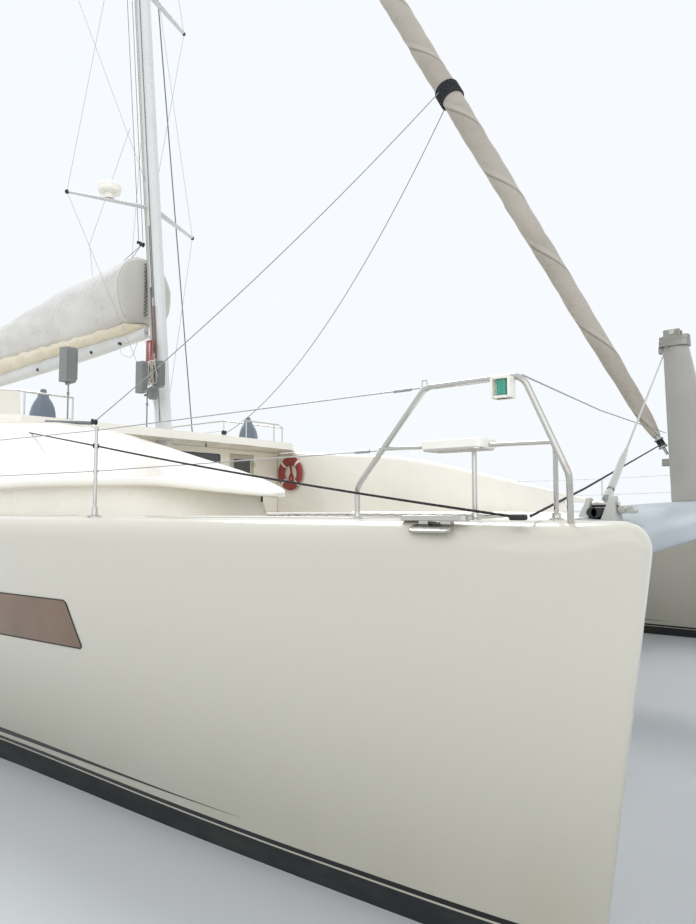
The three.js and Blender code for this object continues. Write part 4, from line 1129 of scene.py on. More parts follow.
@dataclass
class Hulls:
    """The two hulls: smooth shells with rounded gunwales, stems, stern steps, windows and keels."""

    gunwale: float = 0.15
    stem_round: float = 0.15
    stem_from: float = 11.362
    nose: float = 0.012
    below_round: int = 28
    windows: tuple = ((4.0, 7.64, 7.8), (-2.5, 1.5, 1.6), (-7.0, -4.5, -4.4))
    window_low: float = 1.12
    window_top: float = 1.45
    window_round: float = 0.028
    steps: tuple = (
        (-10.9, 0.43), (-10.55, 0.7), (-10.2, 0.97), (-9.85, 1.24), (-9.5, 1.51), (-9.15, 1.78)
    )
    step_half: float = 0.7
    keel_sections: tuple = (
        (-2.6, 1.6, 0.14, -0.45),
        (-2.35, 1.25, 0.126, -1.0),
        (-2.1, 0.9, 0.112, -1.5),
        (-2.0, 0.8, 0.06, -1.6),
    )
    rings: list = field(default_factory=list)

    def __post_init__(self) -> None:
        """Fairs the stations into close rings of the port hull, about its own middle."""
        rows = fair(STATIONS, [14, 16, 16, 16, 16, 14, 16, 16, 14, 14, 10])
        for row in rows:
            self.rings.append(self.ring(row, 1.0))
        for angle in (25, 45, 62, 76, 86):
            tip = rows[-1].copy()
            tip[0:2] += self.nose * math.sin(math.radians(angle))
            self.rings.append(self.ring(tip, math.cos(math.radians(angle))))

    def ring(self, row: Sequence[float], narrow: float) -> np.ndarray:
        """Half a section from the keel to the middle of the deck.

        Args:
            row: The faired station.
            narrow: Share of its half widths.

        Returns:
            Points of X, offset from the hull's middle, and Z.
        """
        water_x, deck_x, half_deck, half_water, depth = row
        ahead = min(max(deck_x - self.stem_from, 0), self.stem_round)
        top = DECK - self.stem_round + math.sqrt(self.stem_round**2 - ahead**2)
        flare = half_deck - half_water
        r = min(self.gunwale, half_deck * 0.8)
        given = [
            (0, -depth),
            (half_water * 0.5, -depth * 0.93),
            (half_water * 0.85, -depth * 0.62),
            (half_water * 0.98, -depth * 0.25),
            (half_water + flare * 0.06, top * 0.05),
            (half_water + flare * 0.42, top * 0.25),
            (half_water + flare * 0.8, top * 0.6),
            (half_deck, top - r),
        ]
        lower = fair(given, [3, 4, 3, 3, 4, 5, 6])
        bends = np.radians(np.linspace(0, 90, 8))[1:]
        edge = [(half_deck - r + r * math.cos(a), top - r + r * math.sin(a)) for a in bends]
        half = [*lower, *edge, (0, top)]
        lean = (deck_x - water_x) / DECK
        return np.array([(water_x + lean * z, offset * narrow, z) for offset, z in half])

    def skin(self, x: float, z: float, out: float = 0.0) -> float:
        """The hull's outer half width at a place.

        Args:
            x: Place along the boat.
            z: Height.
            out: How far off the skin.

        Returns:
            The offset from the hull's middle.
        """
        near = [ring for ring in self.rings if abs(ring[0][0] - x) < 1.2]
        xs = [np.interp(z, ring[: self.below_round, 2], ring[: self.below_round, 0]) for ring in near]
        offsets = [
            np.interp(z, ring[: self.below_round, 2], ring[: self.below_round, 1]) for ring in near
        ]
        return float(np.interp(x, xs, offsets)) + out

    def shell(self) -> bpy.types.Mesh:
        """The port hull as one closed shell with its steps, bay and lid seat cut out."""
        rings = []
        for half in self.rings:
            whole = [(x, HULL_Y + offset, z) for x, offset, z in half]
            whole += [(x, HULL_Y - offset, z) for x, offset, z in half[-2:0:-1]]
            rings.append(whole)
        stairs = [(-11.7, self.steps[0][1])]
        for i, (fore, height) in enumerate(self.steps):
            rise = self.steps[i + 1][1] if i + 1 < len(self.steps) else DECK + 0.3
            stairs += [(fore, height), (fore, rise)]
        stairs.append((-11.7, DECK + 0.3))
        half = self.step_half
        stair_tool = loft([[(x, y, z) for x, z in stairs] for y in (HULL_Y - half, HULL_Y + half)])
        bay = block((-8.45, HULL_Y - 0.43, 0.25), (-6.95, HULL_Y + 0.43, DECK + 0.3))
        seat = block((-8.556, HULL_Y - 0.526, DECK - 0.04), (-6.844, HULL_Y + 0.526, DECK + 0.31))
        well = block((-8.088, HULL_Y - 0.063, -1.2), (-7.792, HULL_Y + 0.063, 0.27))
        return carved(loft(rings), stair_tool, bay, seat, well)

    def keel(self) -> bpy.types.Mesh:
        """The low keel under the port hull, a foil in plan."""
        rings = []
        for aft, fore, half, z in self.keel_sections:
            rings.append([(x, HULL_Y + y, z) for x, y in foil(fore, aft, half)])
        return loft(rings)

    def window(
        self, aft: float, top_fore: float, low_fore: float, side: int, out: float
    ) -> tuple[bpy.types.Mesh, list]:
        """One long window that follows the hull's side.

        Args:
            aft: Its aft end.
            top_fore: Its upper fore corner.
            low_fore: Its lower fore corner.
            side: 1 to port, -1 to starboard.
            out: How far its face stands off the hull.

        Returns:
            The pane, and the points of its outline.
        """
        radius = self.window_round
        rows = []
        for b in (*np.linspace(0, 0.2, 6), *np.linspace(0.3, 0.7, 5), *np.linspace(0.8, 1, 6)):
            z = self.window_low + (self.window_top - self.window_low) * b
            near_edge = max(radius - min(z - self.window_low, self.window_top - z), 0)
            inset = radius - math.sqrt(max(radius**2 - near_edge**2, 0))
            fore = low_fore + (top_fore - low_fore) * b - inset
            back = aft + inset - (top_fore - low_fore) * b * 0.4
            xs = np.linspace(back, fore, 40)
            rows.append([(x, side * (HULL_Y + self.skin(x, z, out)), z) for x in xs])
        inner = [[(x, y - side * 0.03, z) for x, y, z in row] for row in rows]
        outline = [
            *rows[0], *(row[-1] for row in rows[1:-1]), *rows[-1][::-1],
            *(row[0] for row in rows[-2:0:-1])
        ]
        return loft([row + back[::-1] for row, back in zip(rows, inner)]), outline

    def build(self) -> None:
        """Builds both hulls and what is set in them."""
        shell = self.shell()
        for word, side in SIDES.items():
            flip = Matrix.Diagonal((1, side, 1, 1))
            piece(
                f"hull_shell_{word}", turned(shell.copy(), flip), Look.HULL, replaces=[f"hull_{word}"],
                sharp=30
            )
            piece(f"keel_{word}", turned(self.keel(), flip), Look.FOUL, sharp=50)
            panes, seals = [], []
            for aft, top_fore, low_fore in self.windows:
                pane, outline = self.window(aft, top_fore, low_fore, side, 0.004)
                panes.append(pane)
                seals.append(Chain(outline, 0.0045, loop=True))
            piece(f"hull_windows_{word}", merged(*panes), Look.BRONZE_GLASS, sharp=50)
            bars(f"hull_window_seals_{word}", seals, Look.SEAL, sides=6)
            treads = []
            for i, (fore, height) in enumerate(self.steps):
                aft = self.steps[i - 1][0] if i else -11.42
                half = self.step_half - 0.08
                outline = rounded(corners(aft + 0.03, HULL_Y - half, fore - 0.03, HULL_Y + half), 0.04)
                treads.append(turned(slab(outline, height - 0.002, height + 0.006), flip))
            piece(f"stern_step_treads_{word}", merged(*treads), Look.TEAK)
            self.deck_grips(word, side)

    def deck_grips(self, word: str, side: int) -> None:
        """Raised non-slip panels along a hull's deck."""
        panels = []
        for aft, fore in ((-6.7, -3.0), (-2.9, 0.9), (1.05, 4.0), (4.1, 7.0), (8.2, 9.9)):
            xs = np.linspace(aft, fore, 16)
            outer = [(x, HULL_Y + self.deck_half(x) - 0.24) for x in xs]
            inner_y = 4.3 if fore > 8 else 4.95
            inner = [(x, min(inner_y, y - 0.05)) for x, y in outer]
            outline = rounded([*outer, *inner[::-1]], 0.02, 2)
            thin = slab(outline, DECK + PANEL[0], DECK + PANEL[1])
            panels.append(turned(thin, Matrix.Diagonal((1, side, 1, 1))))
        piece(f"deck_grip_{word}", merged(*panels), Look.GRIP)

    def deck_half(self, x: float) -> float:
        """Half width of a hull's deck at a place along it."""
        table = np.array(STATIONS)
        return float(np.interp(x, table[:, 1], table[:, 2]))


def foil(fore: float, aft: float, half: float, count: int = 24) -> list[tuple[float, float]]:
    """A foil's outline in plan, round in front and sharp behind."""
    made = []
    for i in range(count):
        a = math.tau * i / count
        share = (1 - math.cos(a)) / 2
        thick = 2.6 * (math.sqrt(share) * (1 - share)) * half
        made.append((fore + (aft - fore) * share, math.copysign(thick, math.sin(a)) if i else 0.0))
    return made


class Crest(NamedTuple):
    """A section of the coachroof: its place, inner and outer edge, and the crest over the deck."""

    x: float
    inner: float
    outer: float
    crest: float


CRESTS = (
    Crest(1.0, 3.4, 5.1, 1.3497),
    Crest(1.5, 3.4, 5.095, 1.3497),
    Crest(2.0, 3.4, 5.09, 1.315),
    Crest(3.0, 3.4, 5.075, 1.24),
    Crest(4.0, 3.4, 5.045, 1.155),
    Crest(5.0, 3.4, 4.99, 1.005),
    Crest(6.0, 3.4, 4.88, 0.775),
    Crest(6.8, 3.41, 4.72, 0.57),
    Crest(7.4, 3.44, 4.45, 0.42),
    Crest(7.75, 3.5, 4.18, 0.325),
    Crest(8.0, 3.58, 3.95, 0.255),
    Crest(8.1, 3.63, 3.86, 0.222),
    Crest(8.15, 3.69, 3.79, 0.2),
)


@dataclass
class Coachroofs:
    """The moulded roofs over the hulls, with their shoulder, their lip and the recessed wall."""

    lip: float = 0.2
    lip_depth: float = 0.07
    recess: float = 0.16
    raised: tuple = ((1.0, 4.5, 6.3, 7.4, 8.1), (0.015, 0.034, 0.06, 0.055, 0.0))

    def section(self, row: Sequence[float]) -> list[tuple[float, float]]:
        """One ring of offset from the centreline and height over the deck."""
        x, inner, outer, crest = row
        width = outer - inner
        droop = held((x - 7.3) / 0.8)
        depth = self.lip_depth - 0.035 * droop
        foot = self.lip - 0.04 * droop + float(np.interp(x, *self.raised))
        low = foot + depth
        rise = max(crest - low, 0.004)
        recess = min(self.recess, width * 0.3)
        shoulder = 0.1 * held((7.0 - x) / 3.5)
        curve = fair(
            [
                (0.09, 1), (0.3, 0.83 + shoulder * 0.2), (0.55, 0.59 + shoulder * 0.5),
                (0.72, 0.4 + shoulder), (0.8, 0.29 + shoulder * 0.7), (0.9, 0.14 + shoulder * 0.2),
                (0.985, 0)
            ], 4
        )
        shell = [(inner + width * u, low + rise * v) for u, v in curve]
        k = min(1, rise / 0.4)
        edge = [
            (inner, low + rise - 0.09 * k), (inner + width * 0.012, low + rise - 0.035 * k),
            (inner + width * 0.04, low + rise - 0.008 * k)
        ]
        lip = [
            (outer - 0.004, foot + depth * 0.8), (outer, foot + depth * 0.5),
            (outer - 0.006, foot + depth * 0.2), (outer - 0.02, foot)
        ]
        skirt = foot * held((x - 7.55) / 0.15)
        inside = inner + min(0.05, width * 0.1)
        return [
            (inner, skirt), *edge, *shell, *lip, (outer - recess, foot - 0.004), (inside, foot - 0.004),
            (inside, skirt)
        ]

    def wall(self, rows: np.ndarray) -> bpy.types.Mesh:
        """The wall under the lip, set back all round and raked at its front end."""
        rings = []
        for z, forward in ((DECK, 0.0), (DECK + 0.1, -0.05), (DECK + self.lip + 0.064, -0.12)):
            near, far = [], []
            for x, inner, outer, _ in rows:
                if x < 7.8:
                    place = x + (0.02 + forward) * held((x - 6.8) / 1.0)
                    thin = min(self.recess, (outer - inner) * 0.3)
                    full = 1 - held((x - 6.8) / 0.95) ** 3
                    near.append((place, inner + 0.03))
                    far.append((place, inner + 0.05 + (outer - thin - inner - 0.05) * full))
            near[-1] = (near[-1][0] - 0.03, near[-1][1])
            rings.append([(x, y, z) for x, y in far + near[::-1]])
        return loft(rings)

    def build(self) -> None:
        """Builds both roofs, each a shell with its overhanging lip on a wall set back under it."""
        rows = fair(CRESTS, [6, 6, 10, 10, 10, 12, 10, 10, 8, 6, 4, 4])
        wall = self.wall(rows)
        for word, side in SIDES.items():
            flip = Matrix.Diagonal((1, side, 1, 1))
            shell = loft([[(row[0], y, DECK + z) for y, z in self.section(row)] for row in rows])
            piece(
                f"coachroof_shell_{word}", turned(shell, flip), Look.GELCOAT,
                replaces=[f"coachroof_{word}"], sharp=48
            )
            # the wall takes the brighter gelcoat copy: painted light under the lip
            piece(f"coachroof_wall_{word}", turned(wall.copy(), flip), Look.WALL_PAINTED_BRIGHT, sharp=48)
            latch = Chain(mirrored([(7.8, 3.62, 2.17), (7.8, 3.62, 2.24)], side), 0.01)
            bars(f"coachroof_latch_{word}", [latch], Look.BLACK)


@dataclass
class UnderwaterGear:
    """Rudders on their stocks, bronze propellers, and the drives that carry them."""

    stock_x: float = -10.35
    blade: tuple = ((-0.33, 0.7), (-0.7, 0.69), (-1.1, 0.6), (-1.42, 0.51), (-1.5, 0.42))
    blade_half: float = 0.045
    hub_x: float = -8.345
    shaft_z: float = -0.8
    tips: tuple = ((0.05, 0.07, 62), (0.1, 0.1, 50), (0.16, 0.13, 38), (0.22, 0.11, 30), (0.26, 0.04, 26))

    def rudder(self, y: float) -> bpy.types.Mesh:
        """A spade rudder: a foil that narrows to its foot."""
        rings = []
        for z, chord in self.blade:
            nose = self.stock_x + chord * 0.3
            rings.append(
                [
                    (x, y + offset, z) for x,
                    offset in foil(nose, nose - chord, self.blade_half * min(1, chord / 0.5))
                ]
            )
        return loft(rings)

    def propeller(self, y: float) -> list[bpy.types.Mesh]:
        """The hub and its three twisted blades."""
        hub = [(-8.2605, 0.066), (-8.27, 0.07), (-8.36, 0.068), (-8.41, 0.055), (-8.43, 0.03)]
        angles = around(28)
        meshes = [
            loft(
                [
                    [(x, y + r * math.cos(a), self.shaft_z + r * math.sin(a)) for a in angles] for x,
                    r in hub
                ]
            )
        ]
        for i in range(3):
            rings = []
            for reach, chord, pitch in self.tips:
                p = math.radians(pitch)
                section = foil(chord / 2, -chord / 2, 0.008, 16)
                rings.append(
                    [
                        (u * math.sin(p) + v * math.cos(p), u * math.cos(p) - v * math.sin(p), reach)
                        for u, v in section
                    ]
                )
            place = Matrix.Translation(
                (self.hub_x, y, self.shaft_z)
            ) @ Matrix.Rotation(math.tau * i / 3, 4, "X")
            meshes.append(turned(loft(rings), place))
        return meshes

    def build(self) -> None:
        """Builds the gear under each hull."""
        for word, side in SIDES.items():
            y = side * HULL_Y
            body = f"rudder_{word}"
            piece(f"rudder_blade_{word}", self.rudder(y), Look.FOUL, body, replaces=[body], sharp=50)
            stock = Chain([(self.stock_x, y, -0.4), (self.stock_x, y, 0.06)], 0.032)
            bars(f"rudder_stock_{word}", [stock], Look.STEEL, body, 20)
            body = f"propeller_{word}"
            piece(
                f"propeller_bronze_{word}", merged(*self.propeller(y)), Look.BRONZE, body, replaces=[body]
            )
            dress(f"engine_and_drive_{word}", Look.DRIVE, 0.02)
            dress(f"engine_hatch_{word}", Look.GRIP, 0.006)
            pulls = [
                ((x, y + across, DECK + 0.006), (0, 0, 1)) for x in (-8.3, -8.2) for across in (-0.3, 0.3)
            ]
            piece(
                f"hatch_pulls_{word}", studs.mesh(pulls, Look.STEEL, 0.022, 0.006), Look.STEEL,
                f"engine_hatch_{word}"
            )


@dataclass
class Deckhouse:
    """The house between the hulls with its glass, doors and roof, and the deck that it stands on."""

    walk_z: float = 2.075
    nodes: tuple = (
        ("bridgedeck", Look.GELCOAT, 0.02),
        # the house walls take the brighter gelcoat copy: painted light
        ("deckhouse_side_port", Look.HOUSE_PAINTED_BRIGHT, 0.018),
        ("deckhouse_side_starboard", Look.HOUSE_PAINTED_BRIGHT, 0.018),
        ("deckhouse_front", Look.HOUSE_PAINTED_BRIGHT, 0.012),
        ("deckhouse_aft", Look.HOUSE_PAINTED_BRIGHT, 0.012),
        # the front door takes the darker gelcoat copy: painted shade
        ("front_door", Look.RECESS_PAINTED_SHADE, 0.008),
        ("roof", Look.GELCOAT, 0.05),
        ("roof_post_port", Look.GELCOAT, 0.008),
        ("roof_post_starboard", Look.GELCOAT, 0.008),
        ("side_glass_port", Look.GLASS, 0.004),
        ("side_glass_starboard", Look.GLASS, 0.004),
        ("front_glass_port", Look.GLASS, 0.003),
        ("front_glass_starboard", Look.GLASS, 0.003),
        ("aft_glass", Look.GLASS, 0.003),
        ("sliding_door", Look.GLASS, 0.003),
        ("walkway", Look.GELCOAT, 0.02),
        ("helm_console", Look.GELCOAT, 0.03),
        ("flybridge_bench", Look.GELCOAT, 0.03),
        ("cockpit_bench", Look.GELCOAT, 0.03),
        ("cockpit_table", Look.TEAK, 0.006),
    )

    def seals(self) -> list[Chain]:
        """Black seals round the fixed panes."""
        made = []
        for node in ("front_glass_port", "front_glass_starboard"):
            low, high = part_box(node)
            y0, y1, z0, z1 = low.y + 0.005, high.y - 0.005, low.z + 0.005, high.z - 0.005
            x = high.x
            made.append(Chain([(x, y0, z0), (x, y1, z0), (x, y1, z1), (x, y0, z1)], 0.008, 0.04, True))
        for word, side in SIDES.items():
            low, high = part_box(f"side_glass_{word}")
            inner, outer = min(abs(low.y), abs(high.y)) + 0.006, max(abs(low.y), abs(high.y)) - 0.006
            z0, z1 = low.z + 0.012, high.z - 0.004
            line = [(low.x, outer, z0), (high.x, outer, z0), (high.x, inner, z1), (low.x, inner, z1)]
            made.append(Chain(mirrored(line, side), 0.009, 0.05, True))
        return made

    def build(self) -> None:
        """Dresses the CAD nodes and adds seals, frames and handles."""
        for node, finish, bevel in self.nodes:
            dress(node, finish, bevel)
        bars("pane_seals", self.seals(), Look.SEAL, sides=8)
        bars("roof_strap", [Chain([(1.5, 0.88, 3.46), (1.5, 0.885, 3.34)], 0.014)], Look.BLACK, sides=8)
        x, inner, outer, low, top = HOUSE_FRONT - 0.012, 2.05, 2.55, 2.45, 3.2
        opening = corners(inner, low, outer, top)
        pane = loft([[(x + d, y, z) for y, z in rounded(opening, 0.06)] for d in (-0.006, 0.003)])
        piece("front_door_pane", pane, Look.GLASS, "front_door")
        frame_line = Chain([(x + 0.004, y, z) for y, z in opening], 0.008, 0.05, True)
        handle = Chain(
            [(x, 2.0, 2.62), (x + 0.045, 2.0, 2.62), (x + 0.045, 2.0, 2.82), (x, 2.0, 2.82)], 0.008, 0.02
        )
        bars("front_door_handle", [frame_line, handle], Look.STEEL, "front_door")
        low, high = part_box("sliding_door")
        x, top = low.x - 0.004, 3.3
        rails = [
            Chain(
                [
                    (x, low.y + 0.03, 1.44), (x, high.y - 0.03, 1.44), (x, high.y - 0.03, top),
                    (x, low.y + 0.03, top)
                ], 0.016, 0.03, True
            )
        ]
        rails.append(
            Chain(
                [
                    (x, high.y - 0.12, 2.2), (x - 0.05, high.y - 0.12, 2.2),
                    (x - 0.05, high.y - 0.12, 2.6), (x, high.y - 0.12, 2.6)
                ], 0.01, 0.02
            )
        )
        bars("sliding_door_frame", rails, Look.ALLOY, "sliding_door")
        self.grips()

    def grips(self) -> None:
        """Non-slip panels on the foredeck, the roof, the walkway and the cockpit sole."""
        panels = [
            panel([(1.3, -3.2), (5.9, -3.2), (5.9, -0.1), (1.9, -0.1)], 0.08, DECK),
            panel([(1.9, 0.1), (5.9, 0.1), (5.9, 3.2), (1.3, 3.2)], 0.08, DECK),
            panel(corners(6.8, -0.28, 10.15, 0.28), 0.05, self.walk_z),
            panel(corners(-9.2, -3.1, -1.05, 3.1), 0.1, ROOF_TOP),
            panel(corners(-0.8, -3.2, 1.0, -0.3), 0.08, ROOF_TOP),
            panel(corners(-0.8, 0.3, 1.0, 3.2), 0.08, ROOF_TOP),
        ]
        piece("deck_grip_middle", merged(*panels), Look.GRIP)
        piece("cockpit_sole_teak", panel(corners(-10.8, -3.7, -6.7, 3.7), 0.06, SOLE), Look.TEAK)


@dataclass
class Foredeck:
    """Between the bows: the crossbeam, the striker with its stays, the nets and the cleats."""

    beam_mid: float = 10.82
    beam_half: float = 0.55
    beam_thick: float = 0.23
    droop: float = 0.15
    arch: tuple = (
        (-4.75, 2.04), (-3.6, 2.085), (-2.0, 2.15), (0.0, 2.19), (2.0, 2.15), (3.6, 2.085), (4.75, 2.04)
    )
    net_z: float = 2.017
    net: tuple = (
        (6.26, 0.42), (6.26, 1.5), (6.74, 2.64), (7.56, 3.25), (8.12, 3.86), (8.18, 4.15), (10.23, 4.36),
        (10.23, 0.42)
    )
    stay_foot: Point = (11.115, 4.24, 2.16)
    stay_head: Point = (10.375, 0.095, 3.86)
    cleat_y: float = 5.04

    def ring(self, y: float, angles: np.ndarray, out: float = 0.0) -> list[Point]:
        """Points round the crossbeam's wing section at y, some way off its skin."""
        ys, tops = zip(*self.arch)
        top = float(monotone(ys, tops, np.array([y]))[0])
        end = held((abs(y) - 2.6) / 1.6)
        ring = []
        for a in angles:
            c, s = math.cos(a), math.sin(a)
            flat = math.copysign(math.sqrt(abs(s)), s)
            reach, half = self.beam_half + out, self.beam_thick / 2
            low = half - (half - 0.022 * end * (flat < 0)) * flat + 0.02 * end * max(0, c) ** 4
            z = top - low + out * flat - self.droop * max(0, -c - 0.55)
            ring.append((self.beam_mid + reach * c, y, z))
        return ring

    def beam(self) -> bpy.types.Mesh:
        """The arched wing of the crossbeam."""
        angles = around(48)
        return loft([self.ring(y, angles) for y in np.linspace(-4.75, 4.75, 60)])

    def laps(self) -> None:
        """The hull deck's moulded lap over the aft side of each end of the crossbeam."""
        angles = np.radians(np.linspace(68, 205, 20))
        for word, side in SIDES.items():
            rows = [
                self.ring(side * y, angles, 0.008) + self.ring(side * y, angles, -0.004)[::-1]
                for y in np.linspace(3.86, 4.74, 12)
            ]
            piece(f"beam_lap_{word}", loft(rows), Look.GELCOAT)

    def post(self) -> bpy.types.Mesh:
        """The striker's eight-sided post."""
        rings = []
        for aft, fore, half, z in ((10.365, 10.88, 0.135, 2.18), (10.315, 10.55, 0.072, 3.95)):
            inner, outer = aft + (fore - aft) * 0.3, fore - (fore - aft) * 0.3
            across = [
                (aft, -0.6), (inner, -1), (outer, -1), (fore, -0.6), (fore, 0.6), (outer, 1), (inner, 1),
                (aft, 0.6)
            ]
            rings.append([(x, half * share, z) for x, share in across])
        return loft(rings)

    def striker(self) -> None:
        """The post, its cap with pins and plates, and the two stays with their screws."""
        band = rounded(corners(10.28, -0.092, 10.585, 0.092), 0.06)
        cap = [slab(band, 3.86, 3.93), slab(rounded([(x, y * 0.8) for x, y in band], 0.01), 3.93, 3.98)]
        cap += [block((10.33, s * 0.05 - 0.008, 3.93), (10.5, s * 0.05 + 0.008, 4.05)) for s in (-1, 1)]
        cap.append(block((10.27, -0.035, 3.8), (10.32, 0.035, 3.88)))
        cap.append(block((10.27, -0.03, 2.57), (10.4, 0.03, 2.65)))
        piece("striker_post", self.post(), Look.POST, replaces=["striker"], bevel=0.018)
        piece("striker_cap", merged(*cap), Look.POST_METAL, bevel=0.006)
        pin = Chain([(10.42, -0.07, 4.02), (10.42, 0.07, 4.02)], 0.03)
        collar = Chain([(10.655, -0.02, 2.2), (10.655, 0.02, 2.2)], 0.05)
        bars("striker_pins", [pin, collar], Look.STEEL)
        for word, side in SIDES.items():
            foot, head = (Vector(mirrored([p], side)[0]) for p in (self.stay_foot, self.stay_head))
            at = [
                foot.lerp(head, share)
                for share in (0, 0.02, 0.03, 0.04, 0.15, 0.16, 0.17, 0.19, 0.94, 0.95, 1)
            ]
            screw = [
                Chain(at[8:11], 0.013), Chain(at[0:2], 0.024), Chain(at[1:3], 0.014),
                Chain([at[2], at[4]], 0.021)
            ]
            screw += [Chain(at[4:7], 0.017), Chain(at[6:8], 0.012), Chain([at[7], at[8]], 0.0075)]
            bars(f"striker_stay_{word}", screw, Look.STEEL)
            self.beam_end(word, side)

    def beam_end(self, word: str, side: int) -> None:
        """Plates, roller and drum where a stay meets the crossbeam."""
        ears = []
        for low, high, top in (
            ((10.96, 11.035), (11.005, 11.03), 2.165), ((11.09, 11.18), (11.13, 11.165), 2.175)
        ):
            rings = []
            for z, (x0, x1), deep in ((2.02, low, 0.075), (top - 0.03, high, 0.04), (top, high, 0.02)):
                outline = corners(x0, self.stay_foot[1] - deep, x1, self.stay_foot[1] + deep)
                rings.append(mirrored([(x, y, z) for x, y in outline], side))
            ears.append(loft(rings))
        piece(f"beam_ears_{word}", merged(*ears), Look.EARS, bevel=0.004)
        pins = [run(side, 0.016, (11.0, 4.24, 2.13), (11.18, 4.24, 2.13))]
        pins += [run(side, 0.021, (11.15 + d, 4.18, 2.1), (11.15 + d, 4.26, 2.1)) for d in (0.045, 0.09)]
        bars(f"beam_pins_{word}", pins, Look.STEEL, sides=16)
        gear = [run(side, 0.028, (x, 4.18, 2.085), (x, 4.3, 2.085)) for x in (11.05, 11.075)]
        gear.append(run(side, 0.02, (11.0, 4.2, 2.075), (11.13, 4.2, 2.075)))
        bars(f"beam_sockets_{word}", gear, Look.BLACK, sides=16)

    def nets(self) -> None:
        """Both trampolines with their bolt ropes and lacing."""
        outline = rounded(self.net, 0.1, 4)
        area = abs(sum(a[0] * b[1] - b[0] * a[1] for a, b in zip(outline, outline[1:] + outline[:1]))) / 2
        for word, side in SIDES.items():
            sheet = turned(
                slab(outline, self.net_z - 0.004, self.net_z + 0.004), Matrix.Diagonal((1, side, 1, 1))
            )
            border = bars(
                f"trampoline_edge_{word}",
                [Chain(mirrored([(x, y, self.net_z) for x, y in outline], side), 0.011, loop=True)],
                Look.ROPE_PALE, sides=8
            )
            lacing = bars(
                f"trampoline_lacing_{word}", self.lacing(outline, side), Look.ROPE_DARK, sides=6
            )
            net = piece(f"trampoline_net_{word}", sheet, Look.NET, replaces=[f"trampoline_{word}"])

    def lacing(
        self, outline: Sequence[tuple[float, float]], side: int, pitch: float = 0.11, reach: float = 0.05
    ) -> list[Chain]:
        """A zigzag of line between the net's edge and the deck round it."""
        line = [Vector(p) for p in outline] + [Vector(outline[0])]
        middle = sum(line[:-1], Vector((0, 0))) / len(outline)
        points = []
        for a, b in zip(line, line[1:]):
            run = b - a
            away = Vector((run.y, -run.x)).normalized()
            away = away if away.dot((a + b) / 2 - middle) > 0 else -away
            count = max(2, round(run.length / pitch))
            for i in range(count):
                p = a + run * (i / count) + away * (reach if i % 2 else -0.012)
                points.append((p.x, side * p.y, self.net_z + (0.02 if i % 2 else 0.012)))
        return [Chain(points, 0.004, loop=True)]

    def cleats(self) -> None:
        """Flat mooring cleats on their pedestals."""
        for word, side in SIDES.items():
            y = side * self.cleat_y
            bar = slab(rounded(corners(10.33, y - 0.034, 10.72, y + 0.034), 0.03), 2.044, 2.072)
            feet = [
                block((x - 0.028, y - 0.022, 1.985), (x + 0.028, y + 0.022, 2.05)) for x in (10.47, 10.6)
            ]
            oval = slab(rounded(corners(-0.12, -0.04, 0.12, 0.04), 0.039), -0.007, 0.007)
            lean = Matrix.Translation(
                (10.535, y + side * 0.055, 2.008)
            ) @ Matrix.Rotation(side * math.radians(-24), 4, "X")
            piece(
                f"cleat_{word}", merged(bar, *feet, turned(oval, lean)), Look.STEEL,
                replaces=[f"mooring_cleat_{word}"], bevel=0.004
            )

    def build(self) -> None:
        """Builds everything between the bows."""
        # the beam's blue tint is painted sky reflection on its grey paint
        piece("crossbeam_wing", self.beam(), Look.BEAM_SKY_TINTED, replaces=["crossbeam"], sharp=50)
        self.laps()
        self.striker()
        self.nets()
        self.cleats()


